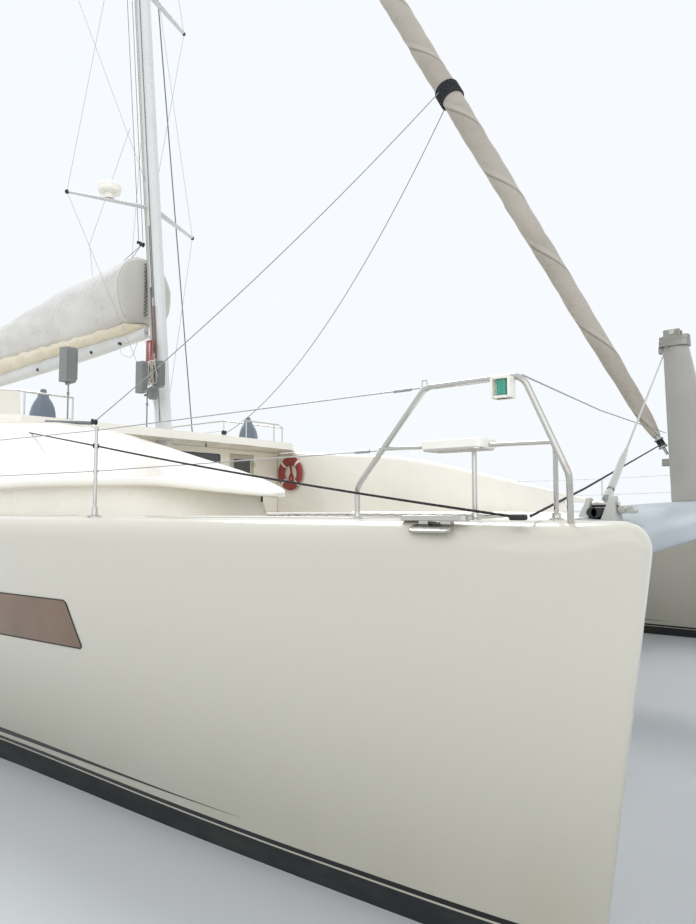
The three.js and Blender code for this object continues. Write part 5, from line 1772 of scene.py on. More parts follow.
@dataclass
class Rails:
    """Pulpits with their seats, guard rails with two wires, and the rails on the roof."""

    pulpit_y: float = 4.95
    stanchions: tuple = (7.77, 6.0, 4.0, 2.0, 0.0, -2.0, -4.0, -6.0, -8.0, -9.1)
    high: float = 0.64
    middle: float = 0.33
    wire: float = 0.0035

    def stand(self, x: float, z: float, side: int) -> tuple[float, float, float]:
        """A point on the line of stanchions, z over the deck."""
        table = np.array(STATIONS)
        half = float(np.interp(x, table[:, 1], table[:, 2]))
        return x, side * (HULL_Y + half - 0.16), DECK + z

    def pulpit(self, word: str, side: int) -> None:
        """One pulpit: frame, middle rail, seat on its post, and feet."""
        y = side * self.pulpit_y
        top = [(9.96, y, DECK), (9.96, y, 2.23), (10.42, y, 2.745), (10.97, y, 2.745), (11.19, y, 2.26)]
        top.append((11.165, y - side * 0.07, DECK - 0.02))
        leg = (11.055, y - side * 0.17, DECK - 0.01)
        rail = [(10.12, y, 2.435), (10.46, y, 2.427), (10.8, y, 2.418), (11.115, y, 2.413)]
        inner = [(11.115, y, 2.415), (11.085, y - side * 0.1, 2.39), leg]
        post = [(10.65, y - side * 0.1, DECK), (10.65, y - side * 0.1, 2.41)]
        eye = [(10.4, y, 2.74), (10.4, y, 2.785), (10.43, y, 2.785), (10.43, y, 2.745)]
        chains = [Chain(top, 0.0155, 0.09), Chain(rail, 0.011), Chain(inner, 0.012, 0.04)]
        chains += [Chain(post, 0.013), Chain(eye, 0.004, 0.012)]
        bars(f"pulpit_frame_{word}", chains, Look.STEEL, replaces=[f"bow_pulpit_{word}"], sides=16)
        profile = [
            (0.0, -0.004), (0.036, -0.004), (0.036, 0.005), (0.022, 0.01), (0.018, 0.035), (0.0, 0.035)
        ]
        feet = [lathe(profile, (*foot[:2], DECK), 20) for foot in (top[0], post[0], leg)]
        piece(f"pulpit_feet_{word}", merged(*feet), Look.STEEL)
        outline = rounded(corners(10.44, y - 0.09, 10.79, y + 0.09), 0.035)
        piece(f"pulpit_seat_{word}", slab(outline, 2.404, 2.452), Look.GELCOAT, bevel=0.008)
        under = slab([(px + (0.01 if px < 10.6 else -0.01), py) for px, py in outline], 2.398, 2.4045)
        piece(f"pulpit_seat_edge_{word}", under, Look.STEEL)
        self.lamp(word, side, y)

    def lamp(self, word: str, side: int, y: float) -> None:
        """The navigation light under the pulpit's top rail."""
        x, z = 10.885, 2.687
        across = [
            (-0.048, 0.02), (-0.048, 0.05), (-0.03, 0.078), (0.03, 0.078), (0.048, 0.05), (0.048, 0.02)
        ]
        glow = Look.LENS if side < 0 else Look.LENS_RED
        for name, finish, size, low, high, out in (
            ("body", Look.GELCOAT, 1.0, -0.052, 0.052, -0.03),
            ("lens", glow, 0.7, -0.04, 0.04, 0.004),
            ("louvre", Look.BLACK, 0.76, -0.042, -0.038, 0.004),
            ("hood", Look.GELCOAT, 1.0, 0.04, 0.052, 0.0),
            ("sill", Look.GELCOAT, 1.0, -0.052, -0.042, 0.0),
        ):
            outline = [(x + u * size, y + side * (v * size + out)) for u, v in across]
            solid = slab(rounded(outline, 0.012), z + low, z + high)
            piece(f"lamp_{name}_{word}", solid, finish, bevel=0.003 if high - low > 0.05 else 0)
        cheeks = []
        for u in (-0.0505, 0.0385):
            low, high = sorted((y + side * 0.022, y + side * 0.072))
            cheeks.append(block((x + u, low, z - 0.052), (x + u + 0.012, high, z + 0.052)))
        piece(f"lamp_cheeks_{word}", merged(*cheeks), Look.GELCOAT, bevel=0.004)
        stem = Chain([(x, y, 2.745), (x, y + side * 0.03, 2.72), (x, y + side * 0.03, 2.66)], 0.01)
        bars(f"lamp_stem_{word}", [stem], Look.BLACK)

    def guard(self, word: str, side: int) -> None:
        """Stanchions in their sockets with two wires that run on to the pulpit."""
        posts = [
            Chain([self.stand(x, 0, side), self.stand(x, self.high, side)], 0.013)
            for x in self.stanchions
        ]
        ends = {self.high - 0.01: (10.389, 2.744), self.middle: (10.103, 2.425)}
        wires = []
        for z, (end_x, end_z) in ends.items():
            points = [(end_x, side * (self.pulpit_y + 0.004), end_z)]
            points += [self.stand(x, z, side) for x in self.stanchions]
            wires.append(Chain(points, self.wire))
            wires.append(
                Chain([Vector(points[0]).lerp(Vector(points[1]), t) for t in (0.02, 0.06)], 0.009)
            )
        bars(f"guard_posts_{word}", posts, Look.STEEL, replaces=[f"guard_rail_{word}"], sides=14)
        bars(f"guard_wires_{word}", wires, Look.WIRE, sides=8)
        profile = [
            (0.0, -0.002), (0.05, -0.002), (0.05, 0.006), (0.022, 0.014), (0.019, 0.07), (0.0, 0.07)
        ]
        feet = [lathe(profile, self.stand(x, 0, side), 18) for x in self.stanchions]
        tops = [
            lathe(
                [(0.0, 0.0), (0.016, 0.0), (0.016, 0.012), (0.008, 0.02), (0.0, 0.02)],
                self.stand(x, self.high - 0.002, side), 14
            ) for x in self.stanchions
        ]
        rings = [
            lathe(
                [(0.0, -0.012), (0.019, -0.012), (0.019, 0.012), (0.0, 0.012)],
                self.stand(x, self.middle, side), 14
            ) for x in self.stanchions
        ]
        piece(f"guard_feet_{word}", merged(*feet, *tops, *rings), Look.STEEL)

    def roof(self, word: str, side: int) -> None:
        """The rail on the roof, low in front and higher along the flybridge."""
        low, high = ROOF_TOP + 0.42, ROOF_TOP + 0.75
        points = [
            (1.5, 1.95, low), (1.5, 2.9, low), (1.15, 3.4, low), (-0.9, 3.4, high), (-9.0, 3.4, high),
            (-9.0, 3.4, ROOF_TOP + 0.28)
        ]
        posts = [
            (1.5, 1.95, low), (1.5, 2.77, low), (1.15, 3.38, low),
            *((x, 3.4, high) for x in (-0.9, -3.0, -5.0, -7.0, -9.0))
        ]
        chains = [Chain(mirrored(points, side), 0.016, 0.1)]
        chains += [Chain(mirrored([(x, y, ROOF_TOP), (x, y, z)], side), 0.014) for x, y, z in posts]
        wire_points = [(-0.9, 3.4, ROOF_TOP + 0.5), (-9.0, 3.4, ROOF_TOP + 0.5)]
        chains.append(Chain(mirrored(wire_points, side), 0.005))
        bars(f"roof_rail_bars_{word}", chains, Look.STEEL, replaces=[f"roof_rail_{word}"], sides=14)
        profile = [(0.0, -0.002), (0.04, -0.002), (0.04, 0.006), (0.02, 0.012), (0.0, 0.012)]
        feet = [lathe(profile, (x, side * y, ROOF_TOP), 16) for x, y, _ in posts if x > -0.8]
        piece(f"roof_rail_feet_{word}", merged(*feet), Look.STEEL)

    def build(self) -> None:
        """Builds the rails of both sides."""
        for word, side in SIDES.items():
            self.pulpit(word, side)
            self.guard(word, side)
            self.roof(word, side)


class Spreader(NamedTuple):
    """A pair of spreaders: height, span to each side and sweep aft."""

    z: float
    span: float
    sweep: float


@dataclass
class Rig:
    """Mast, spreaders, wires, halyards, radar dome and boom."""

    taper_from: float = 20.5
    taper_share: float = 0.62
    spreaders: tuple = (Spreader(8.08, 1.47, 0.62), Spreader(13.0, 1.48, 0.52))
    boom_z: float = 5.585
    hinge_x: float = 0.83
    boom_sections: tuple = (
        (0.72, 0.09, 0.115, 5.585), (-1.5, 0.13, 0.155, 5.503), (-8.0, 0.11, 0.15, 5.3)
    )

    def share(self, z: float) -> float:
        """How much of its full section the mast still has at height z."""
        return 1 - (1 - self.taper_share) * max(0.0, z - self.taper_from) / (MAST_TOP - self.taper_from)

    def tube(self) -> bpy.types.Mesh:
        """The mast's tapering tube, with its sail groove down the aft side."""
        rings = []
        for z in (DECK, 4.0, 8.0, 12.0, 16.0, self.taper_from, 22.0, 23.5, MAST_TOP - 0.03, MAST_TOP):
            k = self.share(z) * (0.9 if z == MAST_TOP else 1)
            ring = []
            for a in around(72):
                c, s = math.cos(a), math.sin(a)
                groove = 1 - 0.12 * math.exp(-(((a - math.pi) / 0.07) ** 2))
                ring.append(
                    (
                        mast_x(z) + MAST_FORE * k * c * groove,
                        MAST_SIDE * k * math.copysign(abs(s) ** 0.9, s), z
                    )
                )
            rings.append(ring)
        return loft(rings)

    def arms(self) -> bpy.types.Mesh:
        """Foil-shaped spreaders that sweep aft and narrow to their tips."""
        meshes = []
        for z, span, sweep_aft in self.spreaders:
            for side in (1, -1):
                rings = []
                for share, chord, thick in (
                    (0.04, 0.09, 0.028), (0.5, 0.07, 0.026), (0.97, 0.047, 0.022), (1.0, 0.03, 0.012)
                ):
                    x, y = mast_x(z) - sweep_aft * share, side * span * share
                    rings.append(
                        [(x + chord * math.cos(a), y, z + thick * math.sin(a)) for a in around(24)]
                    )
                meshes.append(loft(rings))
        return merged(*meshes)

    def wires(self) -> None:
        """Diamonds with their spreader tips, and cap shrouds with their screws and chainplates."""
        chains, tips = [], []
        for (z, span, sweep_aft), head, foot in zip(self.spreaders, (15.8, 20.5), (4.0, 8.6)):
            for side in (1, -1):
                tip = (mast_x(z) - sweep_aft, side * span, z)
                near = [(mast_x(h) - 0.02, side * MAST_SIDE * self.share(h), h) for h in (head, foot)]
                chains.append(Chain([near[0], tip, near[1]], 0.0045))
                tips.append(tip)
        bars("mast_wires", chains, Look.WIRE, sides=8)
        ball = [(0.0, -0.035), (0.03, -0.03), (0.04, 0.0), (0.03, 0.03), (0.0, 0.035)]
        piece("spreader_tips", merged(*(lathe(ball, tip, 16) for tip in tips)), Look.BLACK)
        for word, side in SIDES.items():
            head = Vector((mast_x(21.5), side * (MAST_SIDE * self.share(21.5) + 0.01), 21.5))
            foot = Vector((-4.35, side * 5.42, DECK + 0.02))
            at = [foot.lerp(head, t) for t in (0, 0.004, 0.006, 0.02, 0.026, 0.032, 0.99, 1)]
            parts = [
                Chain([at[0], at[2]], 0.018), Chain([at[2], at[4]], 0.022), Chain([at[4], at[5]], 0.012),
                Chain([at[5], at[6]], 0.009), Chain([at[6], at[7]], 0.014)
            ]
            parts += [Chain([at[5], at[7]], 0.016)]
            bars(f"cap_shroud_{word}", parts, Look.SHROUD, replaces=[f"shroud_{word}"])
            piece(
                f"chainplate_{word}",
                block(
                    (-4.43, side * 5.42 - 0.008, DECK - 0.03), (-4.27, side * 5.42 + 0.008, DECK + 0.07)
                ), Look.STEEL, bevel=0.006
            )

    def head(self) -> None:
        """Masthead plate, lights, aerial and the wind vane."""
        x, z = mast_x(MAST_TOP), MAST_TOP
        plate = block((x - 0.28, -0.06, z - 0.012), (x + 0.16, 0.06, z + 0.012))
        piece("masthead_plate", plate, Look.ALLOY, bevel=0.006)
        wands = [
            Chain([(x - 0.1, 0, z), (x - 0.1, 0, z + 0.2)], 0.006),
            Chain([(x - 0.14, 0, z + 0.2), (x + 0.02, 0, z + 0.2)], 0.004),
            Chain([(x + 0.05, 0.04, z), (x + 0.05, 0.04, z + 0.24)], 0.0035)
        ]
        bars("masthead_wands", wands, Look.BLACK)
        lamp = lathe(
            [(0.0, 0.0), (0.035, 0.0), (0.035, 0.05), (0.03, 0.07), (0.0, 0.075)],
            (x + 0.09, -0.02, z + 0.01), 20
        )
        piece("masthead_lamp", lamp, Look.GELCOAT)

    def halyards(self) -> None:
        """Halyards down the mast."""
        runs = []
        for i, (angle, low, high) in enumerate(
            ((-70, 3.75, 24.6), (80, 3.8, 23.0), (140, 4.4, 24.8), (-125, 4.4, 24.8), (-104, 4.1, 21.0))
        ):
            a = math.radians(angle)
            points = []
            for z in np.linspace(low, high, 14):
                k = self.share(z)
                points.append(
                    (
                        mast_x(z) + (MAST_FORE * k + 0.012) * math.cos(a),
                        (MAST_SIDE * k + 0.012) * math.sin(a), z
                    )
                )
            runs.append(Chain(points, 0.007))
        bars("halyards", runs[:2], Look.ROPE_GREY, sides=8)
        bars("halyards_pale", runs[2:], Look.ROPE_PALE, sides=8)

    def radar(self) -> None:
        """The radar dome on its bracket."""
        z, span, sweep_aft = self.spreaders[0]
        foot = (mast_x(z) - sweep_aft * 0.52, -span * 0.52, z + 0.028)
        profile = [
            (0.0, 0.0), (0.085, 0.0), (0.09, 0.01), (0.09, 0.09), (0.15, 0.1), (0.2, 0.115),
            (0.218, 0.14), (0.22, 0.16), (0.22, 0.2), (0.218, 0.204), (0.222, 0.21), (0.218, 0.24),
            (0.2, 0.27), (0.16, 0.295), (0.1, 0.312), (0.0, 0.32)
        ]
        piece("radar_shell", lathe(profile, foot, 48), Look.GELCOAT, replaces=["radar_dome"], sharp=60)

    def boom(self) -> None:
        """The boom with its gooseneck pin, end cap, sheaves and fittings."""
        xs, halves, talls, middles = zip(*self.boom_sections[::-1])
        rings = []
        for x in (0.72, 0.69, *np.linspace(0.5, -7.9, 24), -7.97, -8.0):
            half, tall, middle = (
                float(monotone(xs, v, np.array([x]))[0]) for v in (halves, talls, middles)
            )
            end = 0.82 if x in (0.72, -8.0) else 1
            ring = []
            for a in around(40):
                out = half * end * math.copysign(abs(math.cos(a)) ** 0.8, math.cos(a))
                ring.append((x, out, middle + tall * end * math.sin(a)))
            rings.append(ring)
        body = "boom_with_sail"
        piece("boom_tube", loft(rings), Look.MAST, body, replaces=["boom"], sharp=50)
        pins = [
            Chain([(self.hinge_x, 0, self.boom_z - 0.09), (self.hinge_x, 0, self.boom_z + 0.09)], 0.045),
            Chain([(0.6, 0, self.boom_z), (self.hinge_x, 0, self.boom_z)], 0.03)
        ]
        bars("gooseneck_pin", pins, Look.STEEL, body, 20)
        sheaves = [
            Chain([(x, -0.13, z), (x, -0.08, z)], 0.035) for x,
            z in ((-0.05, 5.47), (-1.1, 5.44), (-3.4, 5.36))
        ]
        bars("boom_blocks", sheaves, Look.BLACK, body, 16)
        loose = fair(
            [(-0.05, -0.125, 5.46), (0.16, -0.17, 5.2), (0.42, -0.15, 5.12), (0.6, -0.115, 5.44)], 8
        )
        free(
            bars("boom_reef_tail", [Chain(loose, 0.006)], Look.ROPE_PALE, body, 8), 0.006
        )
        taut = [Chain(fair([(-0.05, -0.13, 5.5), (0.3, -0.15, 5.42), (0.66, -0.12, 5.5)], 8), 0.005)]
        bars("boom_reef_line", taut, Look.ROPE_PALE, body, 8)

    def build(self) -> None:
        """Builds the whole rig."""
        piece("mast_tube", self.tube(), Look.MAST, replaces=["mast"], sharp=60)
        piece("spreader_arms", self.arms(), Look.MAST, sharp=60)
        fork = [
            block((self.hinge_x - 0.06, -0.06, z), (0.97, 0.06, z + 0.03))
            for z in (self.boom_z + 0.0905, self.boom_z - 0.1205)
        ]
        tang = block((mast_x(23.5), -0.015, 23.5), (-0.56, 0.015, 23.58))
        piece("mast_fork_and_tang", merged(*fork, tang), Look.STEEL, bevel=0.004)
        self.wires()
        self.head()
        self.halyards()
        self.radar()
        self.boom()


class Fold(NamedTuple):
    """A section of the sail bag: place, foot, top, half width, ridge and fullness of its shoulder."""

    x: float
    low: float
    top: float
    half: float
    ridge: float
    shoulder: float


@dataclass
class Sails:
    """The mainsail in its bag on the boom, and the headsail furled round its stay."""

    bag: tuple = (
        Fold(0.71, 5.8, 7.08, 0.63, 0.25, 0.95),
        Fold(0.36, 5.79, 7.15, 0.61, 0.2, 0.94),
        Fold(-0.5, 5.76, 7.15, 0.56, 0.16, 0.91),
        Fold(-1.5, 5.74, 7.15, 0.5, 0.135, 0.88),
        Fold(-3.15, 5.76, 7.01, 0.43, 0.115, 0.85),
        Fold(-5.6, 5.76, 6.72, 0.37, 0.1, 0.85),
        Fold(-7.4, 5.7, 6.47, 0.26, 0.08, 0.85),
    )
    flap: tuple = ((0, 0.2, 0.5, 0.75, 1.0), (0.55, 0.6, 0.62, 0.6, 0.5))
    stay_x: float = 10.23
    stay_z: float = 2.88
    stay_slope: float = 0.5252
    rolled: tuple = (
        (2.9, 0.045), (3.2, 0.085), (5.5, 0.125), (9.0, 0.155), (14.0, 0.13), (21.5, 0.07), (22.2, 0.035)
    )

    def fold(self, x: float, scale: float = 1.0, out: float = 0.0) -> list[tuple[float, float, float]]:
        """Half a section of the bag, from its foot to its ridge.

        Args:
            x: Place along the boom.
            scale: Share of its full size, about its own middle.
            out: How far the cloth stands off.

        Returns:
            Half width, height and share of the height for each point.
        """
        table = np.array(self.bag)[::-1]
        low, top, half, ridge, full = (
            float(monotone(table[:, 0], table[:, i], np.array([x]))[0]) for i in range(1, 6)
        )
        tall = top - low
        given = [
            (half * 0.45, 0), (half * 0.72, 0.06), (half * 0.87, 0.2), (half * 0.97, 0.42),
            (half * full, 0.6), (ridge * 1.6, 0.9), (ridge * 0.4, 1)
        ]
        line = []
        for y, v in fair(given, 7):
            slack = math.sin(min(v, 1) * math.pi)
            near = math.exp(-(((x - 0.1) / 1.0) ** 2))
            fold = 0.011 * math.sin(x * 9 + v * 7) + 0.008 * math.sin(x * 23 - v * 11) + 0.008 * math.sin(
                x * 4.1 + v * 19
            )
            fold += near * 0.008 * math.sin(x * 15 - v * 16)
            z = low + tall * (0.42 + (v - 0.42) * scale)
            line.append(((y + fold * slack + out) * scale, z + out * (v > 0.9), v))
        return line

    def whole(self, rows: Iterable[Sequence[tuple[float, float, float]]]) -> bpy.types.Mesh:
        """A closed shell from half sections of X, half width and height."""
        return loft([[*row, *((x, -y, z) for x, y, z in row[::-1])] for row in rows])

    def cover(self) -> bpy.types.Mesh:
        """The bag's long cover, whose fore edge is a flap that curves round the front panel."""
        rows = []
        for share in np.linspace(0, 1, 170):
            row = []
            for i in range(43):
                v = i / 42
                x = -7.4 + (float(np.interp(v, *self.flap)) + 7.4) * share
                line = self.fold(x, 1.0, 0.013 * held((x + 0.9) / 1.0))
                y, z, _ = line[min(i, len(line) - 1)]
                row.append((x, y, z))
            rows.append(row)
        return self.whole(rows)

    def front(self) -> bpy.types.Mesh:
        """The front panel with its full, rounded fore end."""
        rows = []
        ends = ((0.65, 0.985), (0.68, 0.95), (0.7, 0.88), (0.716, 0.76), (0.727, 0.55), (0.733, 0.25))
        for x, scale in (*((x, 1.0) for x in np.linspace(-0.2, 0.62, 20)), *ends):
            rows.append([(x, y, z) for y, z, _ in self.fold(min(x, 0.71), scale)])
        return self.whole(rows)

    def band(self) -> bpy.types.Mesh:
        """The sail's rolled foot between the bag and the boom, wrung into twists."""
        rows = []
        for x in np.linspace(-7.3, 0.6, 260):
            low = float(np.interp(x, (-7.3, -5, -1.5, 0.6), (5.4, 5.48, 5.6, 5.64)))
            top = float(np.interp(x, (-7.3, -5, -1.5, 0.6), (5.8, 5.9, 5.86, 5.84)))
            end = min(1.0, 0.35 + (0.6 - x) * 3)
            ring = []
            for a in around(36):
                twist = 1 + 0.06 * math.sin(a * 2 + x * 7.5) + 0.04 * math.sin(a * 3 + x * 13)
                ring.append(
                    (
                        x, 0.3 * end * twist * math.cos(a),
                        (low + top) / 2 + (top - low) / 2 * end * twist * math.sin(a)
                    )
                )
            rows.append(ring)
        return loft(rows)

    def roll(self) -> bpy.types.Mesh:
        """The rolled sail: a spiral section whose edge winds slowly up the stay."""
        zs, radii = zip(*self.rolled)
        lean = math.atan(self.stay_slope)
        rings = []
        for z in np.linspace(2.9, 22.2, 460):
            radius = float(monotone(zs, radii, np.array([z]))[0])
            ring = []
            for i in range(40):
                a = math.tau * i / 40
                lead = (a / math.tau + z / 1.35) % 1.0
                r = radius * (0.94 + 0.06 * min(1, lead * 1.15)) + 0.003 * math.sin(z * 17 + a * 2)
                u, v = r * math.cos(a), r * math.sin(a)
                x = self.stay_x - self.stay_slope * (z - self.stay_z)
                ring.append((x + u * math.cos(lean), v, z + u * math.sin(lean)))
            rings.append(ring)
        return loft(rings)

    def stay(self, z: float) -> Vector:
        """A point on the forestay."""
        return Vector((self.stay_x - self.stay_slope * (z - self.stay_z), 0, z))

    def hoop(self, z: float, radius: float, count: int) -> list[Point]:
        """A circle round the forestay, square to it."""
        lean, middle = math.atan(self.stay_slope), self.stay(z)
        ring = []
        for a in around(count):
            out = radius * math.cos(a)
            ring.append(
                (middle.x + out * math.cos(lean), radius * math.sin(a), middle.z + out * math.sin(lean))
            )
        return ring

    def furler(self) -> None:
        """The furler's drum with its line, and the bare stay above the sail."""
        body = "headsail"
        plates = [Chain([self.stay(z), self.stay(z + 0.013)], 0.05) for z in (2.776, 2.857)]
        plates += [
            Chain([self.stay(2.7), self.stay(2.95)], 0.016),
            Chain([self.stay(2.872), self.stay(2.92)], 0.032)
        ]
        plates.append(Chain([self.stay(22.15), self.stay(23.495)], 0.01))
        bars("furler_drum", plates, Look.ALLOY, body, 24)
        turns = [Chain(self.hoop(2.796 + i * 0.0068, 0.036, 20), 0.004, loop=True) for i in range(9)]
        bars("furler_line", turns, Look.ROPE_DARK, body, 8)
        wraps = [Chain(self.hoop(7.7 + i * 0.028, 0.158, 28), 0.016, loop=True) for i in range(7)]
        bars("sheet_wraps", wraps, Look.ROPE_DARK, body, 10)

    def build(self) -> None:
        """Builds the bag, the rolled sail and the furler."""
        body = "boom_with_sail"
        bag = piece("sail_bag_cloth", self.cover(), Look.BAG, body, replaces=["sail_bag"], sharp=70)
        front = piece("sail_bag_front", self.front(), Look.BAG_DARK, body, sharp=70)
        foot = piece("sail_foot_roll", self.band(), Look.FOOT, body, sharp=70)
        zigzag = []
        for i, z in enumerate(np.linspace(5.9, 6.98, 30)):
            x = min(0.752, mast_x(z) - MAST_FORE - 0.025)
            zigzag.append((x, -0.06 + (0.03 if i % 2 else -0.03), z))
        bars("sail_bag_lacing", [Chain(zigzag, 0.015)], Look.ROPE_GREY, body, 8)
        other = [(x - 0.012, -0.115 - y, z) for x, y, z in zigzag]
        bars("sail_bag_lacing_pale", [Chain(other, 0.012)], Look.ROPE_PALE, body, 8)
        piece(
            "furled_sail_roll", self.roll(), Look.ROLL, "headsail", replaces=["furled_headsail"], sharp=60
        )
        self.furler()


class Line(NamedTuple):
    """A length of running rigging from its upper end, with its sag and the body that it swings with."""

    name: str
    radius: float
    finish: Finish
    points: tuple
    sag: float = 0.0
    body: str = "boat"


LINES = (
    Line(
        "headsail_sheet_starboard", 0.0065, Look.ROPE_SILVER, ((7.58, -0.15, 7.78), (4.6, -3.37, 3.2)),
        0.14
    ),
    Line(
        "headsail_sheet_port", 0.0065, Look.ROPE_SILVER, ((7.54, 0.09, 7.705), (1.965, 0.95, 3.572)), 0.7
    ),
    Line(
        "sheet_on_crest", 0.022, Look.ROPE_GREY,
        ((4.56, -3.4, 3.165), (4.2, -3.45, 3.195), (3.6, -3.49, 3.25))
    ),
    Line("furling_line_aft", 0.0065, Look.ROPE_DARK, ((4.17, -3.97, 3.02), (7.73, -5.24, 2.57))),
    Line("furling_line_fore", 0.0065, Look.ROPE_DARK, ((7.73, -5.24, 2.57), (10.93, -5.02, 2.07)), 0.02),
    Line(
        "furling_line_inner", 0.0065, Look.ROPE_DARK,
        ((11.0, -4.95, 2.07), (10.94, -4.1, 2.22), (10.3, -0.05, 2.82))
    ),
    Line(
        "pulpit_jackline", 0.0045, Look.WIRE,
        ((10.97, -4.95, 2.745), (10.7, -3.12, 2.8), (10.32, -0.02, 2.93))
    ),
    Line("topping_lift", 0.006, Look.ROPE_GREY, ((-0.22, 0.0, 12.95), (0.381, 0.0, 7.55))),
    Line("main_halyard", 0.006, Look.ROPE_GREY, ((-0.08, 0.03, 12.88), (0.5, 0.02, 7.5))),
    Line(
        "bag_strop_fore", 0.006, Look.ROPE_GREY, ((0.48, -0.02, 7.4), (0.3, -0.1, 7.16)), 0.0,
        "boom_with_sail"
    ),
    Line(
        "bag_strop_aft", 0.006, Look.ROPE_GREY, ((0.48, -0.02, 7.4), (0.0, -0.12, 7.15)), 0.0,
        "boom_with_sail"
    ),
    Line(
        "lazy_jack_starboard", 0.003, Look.ROPE_GREY,
        ((0.2, -0.14, 9.9), (-0.61, -0.5, 7.55), (-0.6, -0.42, 6.9)), 0.0, "boom_with_sail"
    ),
    Line(
        "lazy_jack_port", 0.003, Look.ROPE_GREY,
        ((0.2, 0.14, 9.9), (-0.61, 0.5, 7.55), (-0.6, 0.42, 6.9)), 0.0, "boom_with_sail"
    ),
    Line(
        "mast_tail_grey", 0.008, Look.ROPE_GREY,
        ((0.92, -0.137, 7.66), (0.99, -0.137, 7.0), (1.08, -0.137, 6.2))
    ),
    Line("mast_tail_brown", 0.018, Look.ROPE_BROWN, ((1.14, -0.145, 6.02), (1.25, -0.145, 4.99))),
    Line("mast_tail_dark", 0.012, Look.ROPE_GREY, ((1.02, -0.14, 6.41), (1.16, -0.14, 5.1))),
)


class Coil(NamedTuple):
    """A rope's tail, hung in turns at the mast: pitch sets its turns apart, and fan spreads their feet."""

    name: str
    top: Point
    drop: float
    half: float
    turns: int
    pitch: float
    fan: float
    radius: float
    finish: Finish


COILS = (
    Coil("coil_red", (1.235, -0.285, 5.3), 0.62, 0.047, 7, 0.012, 0.05, 0.011, Look.ROPE_ROSE),
    Coil("coil_pale", (1.72, -0.57, 4.8), 0.48, 0.046, 8, 0.014, 0.34, 0.01, Look.ROPE_PALE),
    Coil("coil_grey", (1.6, -0.5, 4.78), 0.42, 0.04, 4, 0.014, 0.2, 0.009, Look.ROPE_GREY),
)


def free(obj: bpy.types.Object, radius: float) -> None:
    """Works out twice a slack rope's radius and does nothing more."""
    2 * radius


@dataclass
class Running:
    """Sheets, halyards and furling line, with the blocks that they pass and the coils at the mast."""

    blocks: tuple = (
        (4.58, -3.385, 3.18, 0.038),
        (1.96, 0.95, 3.6, 0.045),
        (4.17, -3.97, 3.01, 0.02),
        (0.5, 0.0, 7.43, 0.05),
        (0.381, 0.0, 7.5, 0.035),
        (7.73, -5.24, 2.57, 0.02),
    )

    def coil(self, rope: Coil) -> list[Point]:
        """The route of a rope that leaves the mast and hangs in long turns, side by side."""
        x, y, z = rope.top
        cleat = z + 0.04
        route = [(mast_x(cleat) - 0.01, -0.11, cleat)]
        steps = 18
        for i in range(rope.turns):
            fan = rope.fan * (i / (rope.turns - 1) - 0.55)
            low = rope.drop * (0.92 + 0.08 * math.cos(i * 1.7)) - 2 * rope.half
            for j in range(steps):
                turn = (j + 0.5) / steps
                a = math.tau * turn
                down = rope.half * (1 - math.cos(a)) + low * (0.25 < turn < 0.75)
                swing = 1.1 * math.sin(1.9 * (i + turn))
                out = rope.half * math.sin(a)
                along = rope.pitch * (i + turn - rope.turns / 2) + out * math.sin(swing)
                route.append((x + along, y - out * math.cos(swing) + fan * down / rope.drop, z - down))
        return route

    def build(self) -> None:
        """Builds lines, blocks and coils."""
        for name, radius, finish, points, sag, body in LINES:
            line = [Vector(p) for p in points]
            if sag:
                drop = Vector((0, 0, -4 * sag))
                line = [line[0].lerp(line[1], t) + drop * (t - t * t) for t in np.linspace(0, 1, 30)]
            if body != "boat":
                line = [line[0].lerp(line[1], t) for t in np.linspace(0, 1, 20)] + line[2:]
            obj = bars(f"line_{name}", [Chain(line, radius)], finish, body if body == "boat" else "", 8)
            if body != "boat":
                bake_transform(obj)
            if sag > 0.5:
                free(obj, radius)
        cheeks = []
        for x, y, z, radius in self.blocks:
            for d in (-0.6, 0.6):
                cheeks.append(
                    Chain([(x, y + d * radius - 0.004, z), (x, y + d * radius + 0.004, z)], radius)
                )
            cheeks.append(Chain([(x, y - radius * 0.6, z), (x, y + radius * 0.6, z)], radius * 0.7))
        bars("rope_blocks", cheeks, Look.BLACK, sides=20)
        lead = slab(rounded(corners(10.92, -5.03, 11.0, -4.97), 0.02), DECK, 2.078)
        piece("furling_lead", lead, Look.BLACK, bevel=0.01)
        for rope in COILS:
            route = self.coil(rope)
            obj = bars(rope.name, [Chain(route, rope.radius)], rope.finish, sides=8)
            free(obj, rope.radius)
        bars(
            "coil_hanks", [Chain([(1.3, -0.3, 4.86), (1.72, -0.55, 4.78)], 0.012)], Look.ROPE_PALE,
            sides=8
        )
        sack = lathe(
            [
                (0.0, -0.13), (0.07, -0.12), (0.11, -0.06), (0.115, 0.02), (0.09, 0.09), (0.05, 0.115),
                (0.0, 0.12)
            ], (1.45, -0.34, 4.27), 32
        )
        piece("halyard_sack", sack, Look.SPEAKER)
        plates = [
            block((mast_x(z) - 0.06, -0.3, z), (mast_x(z) + 0.03, -0.13, z + 0.022)) for z in (4.3, 5.29)
        ]
        piece("mast_cleats", merged(*plates), Look.MAST, bevel=0.006)


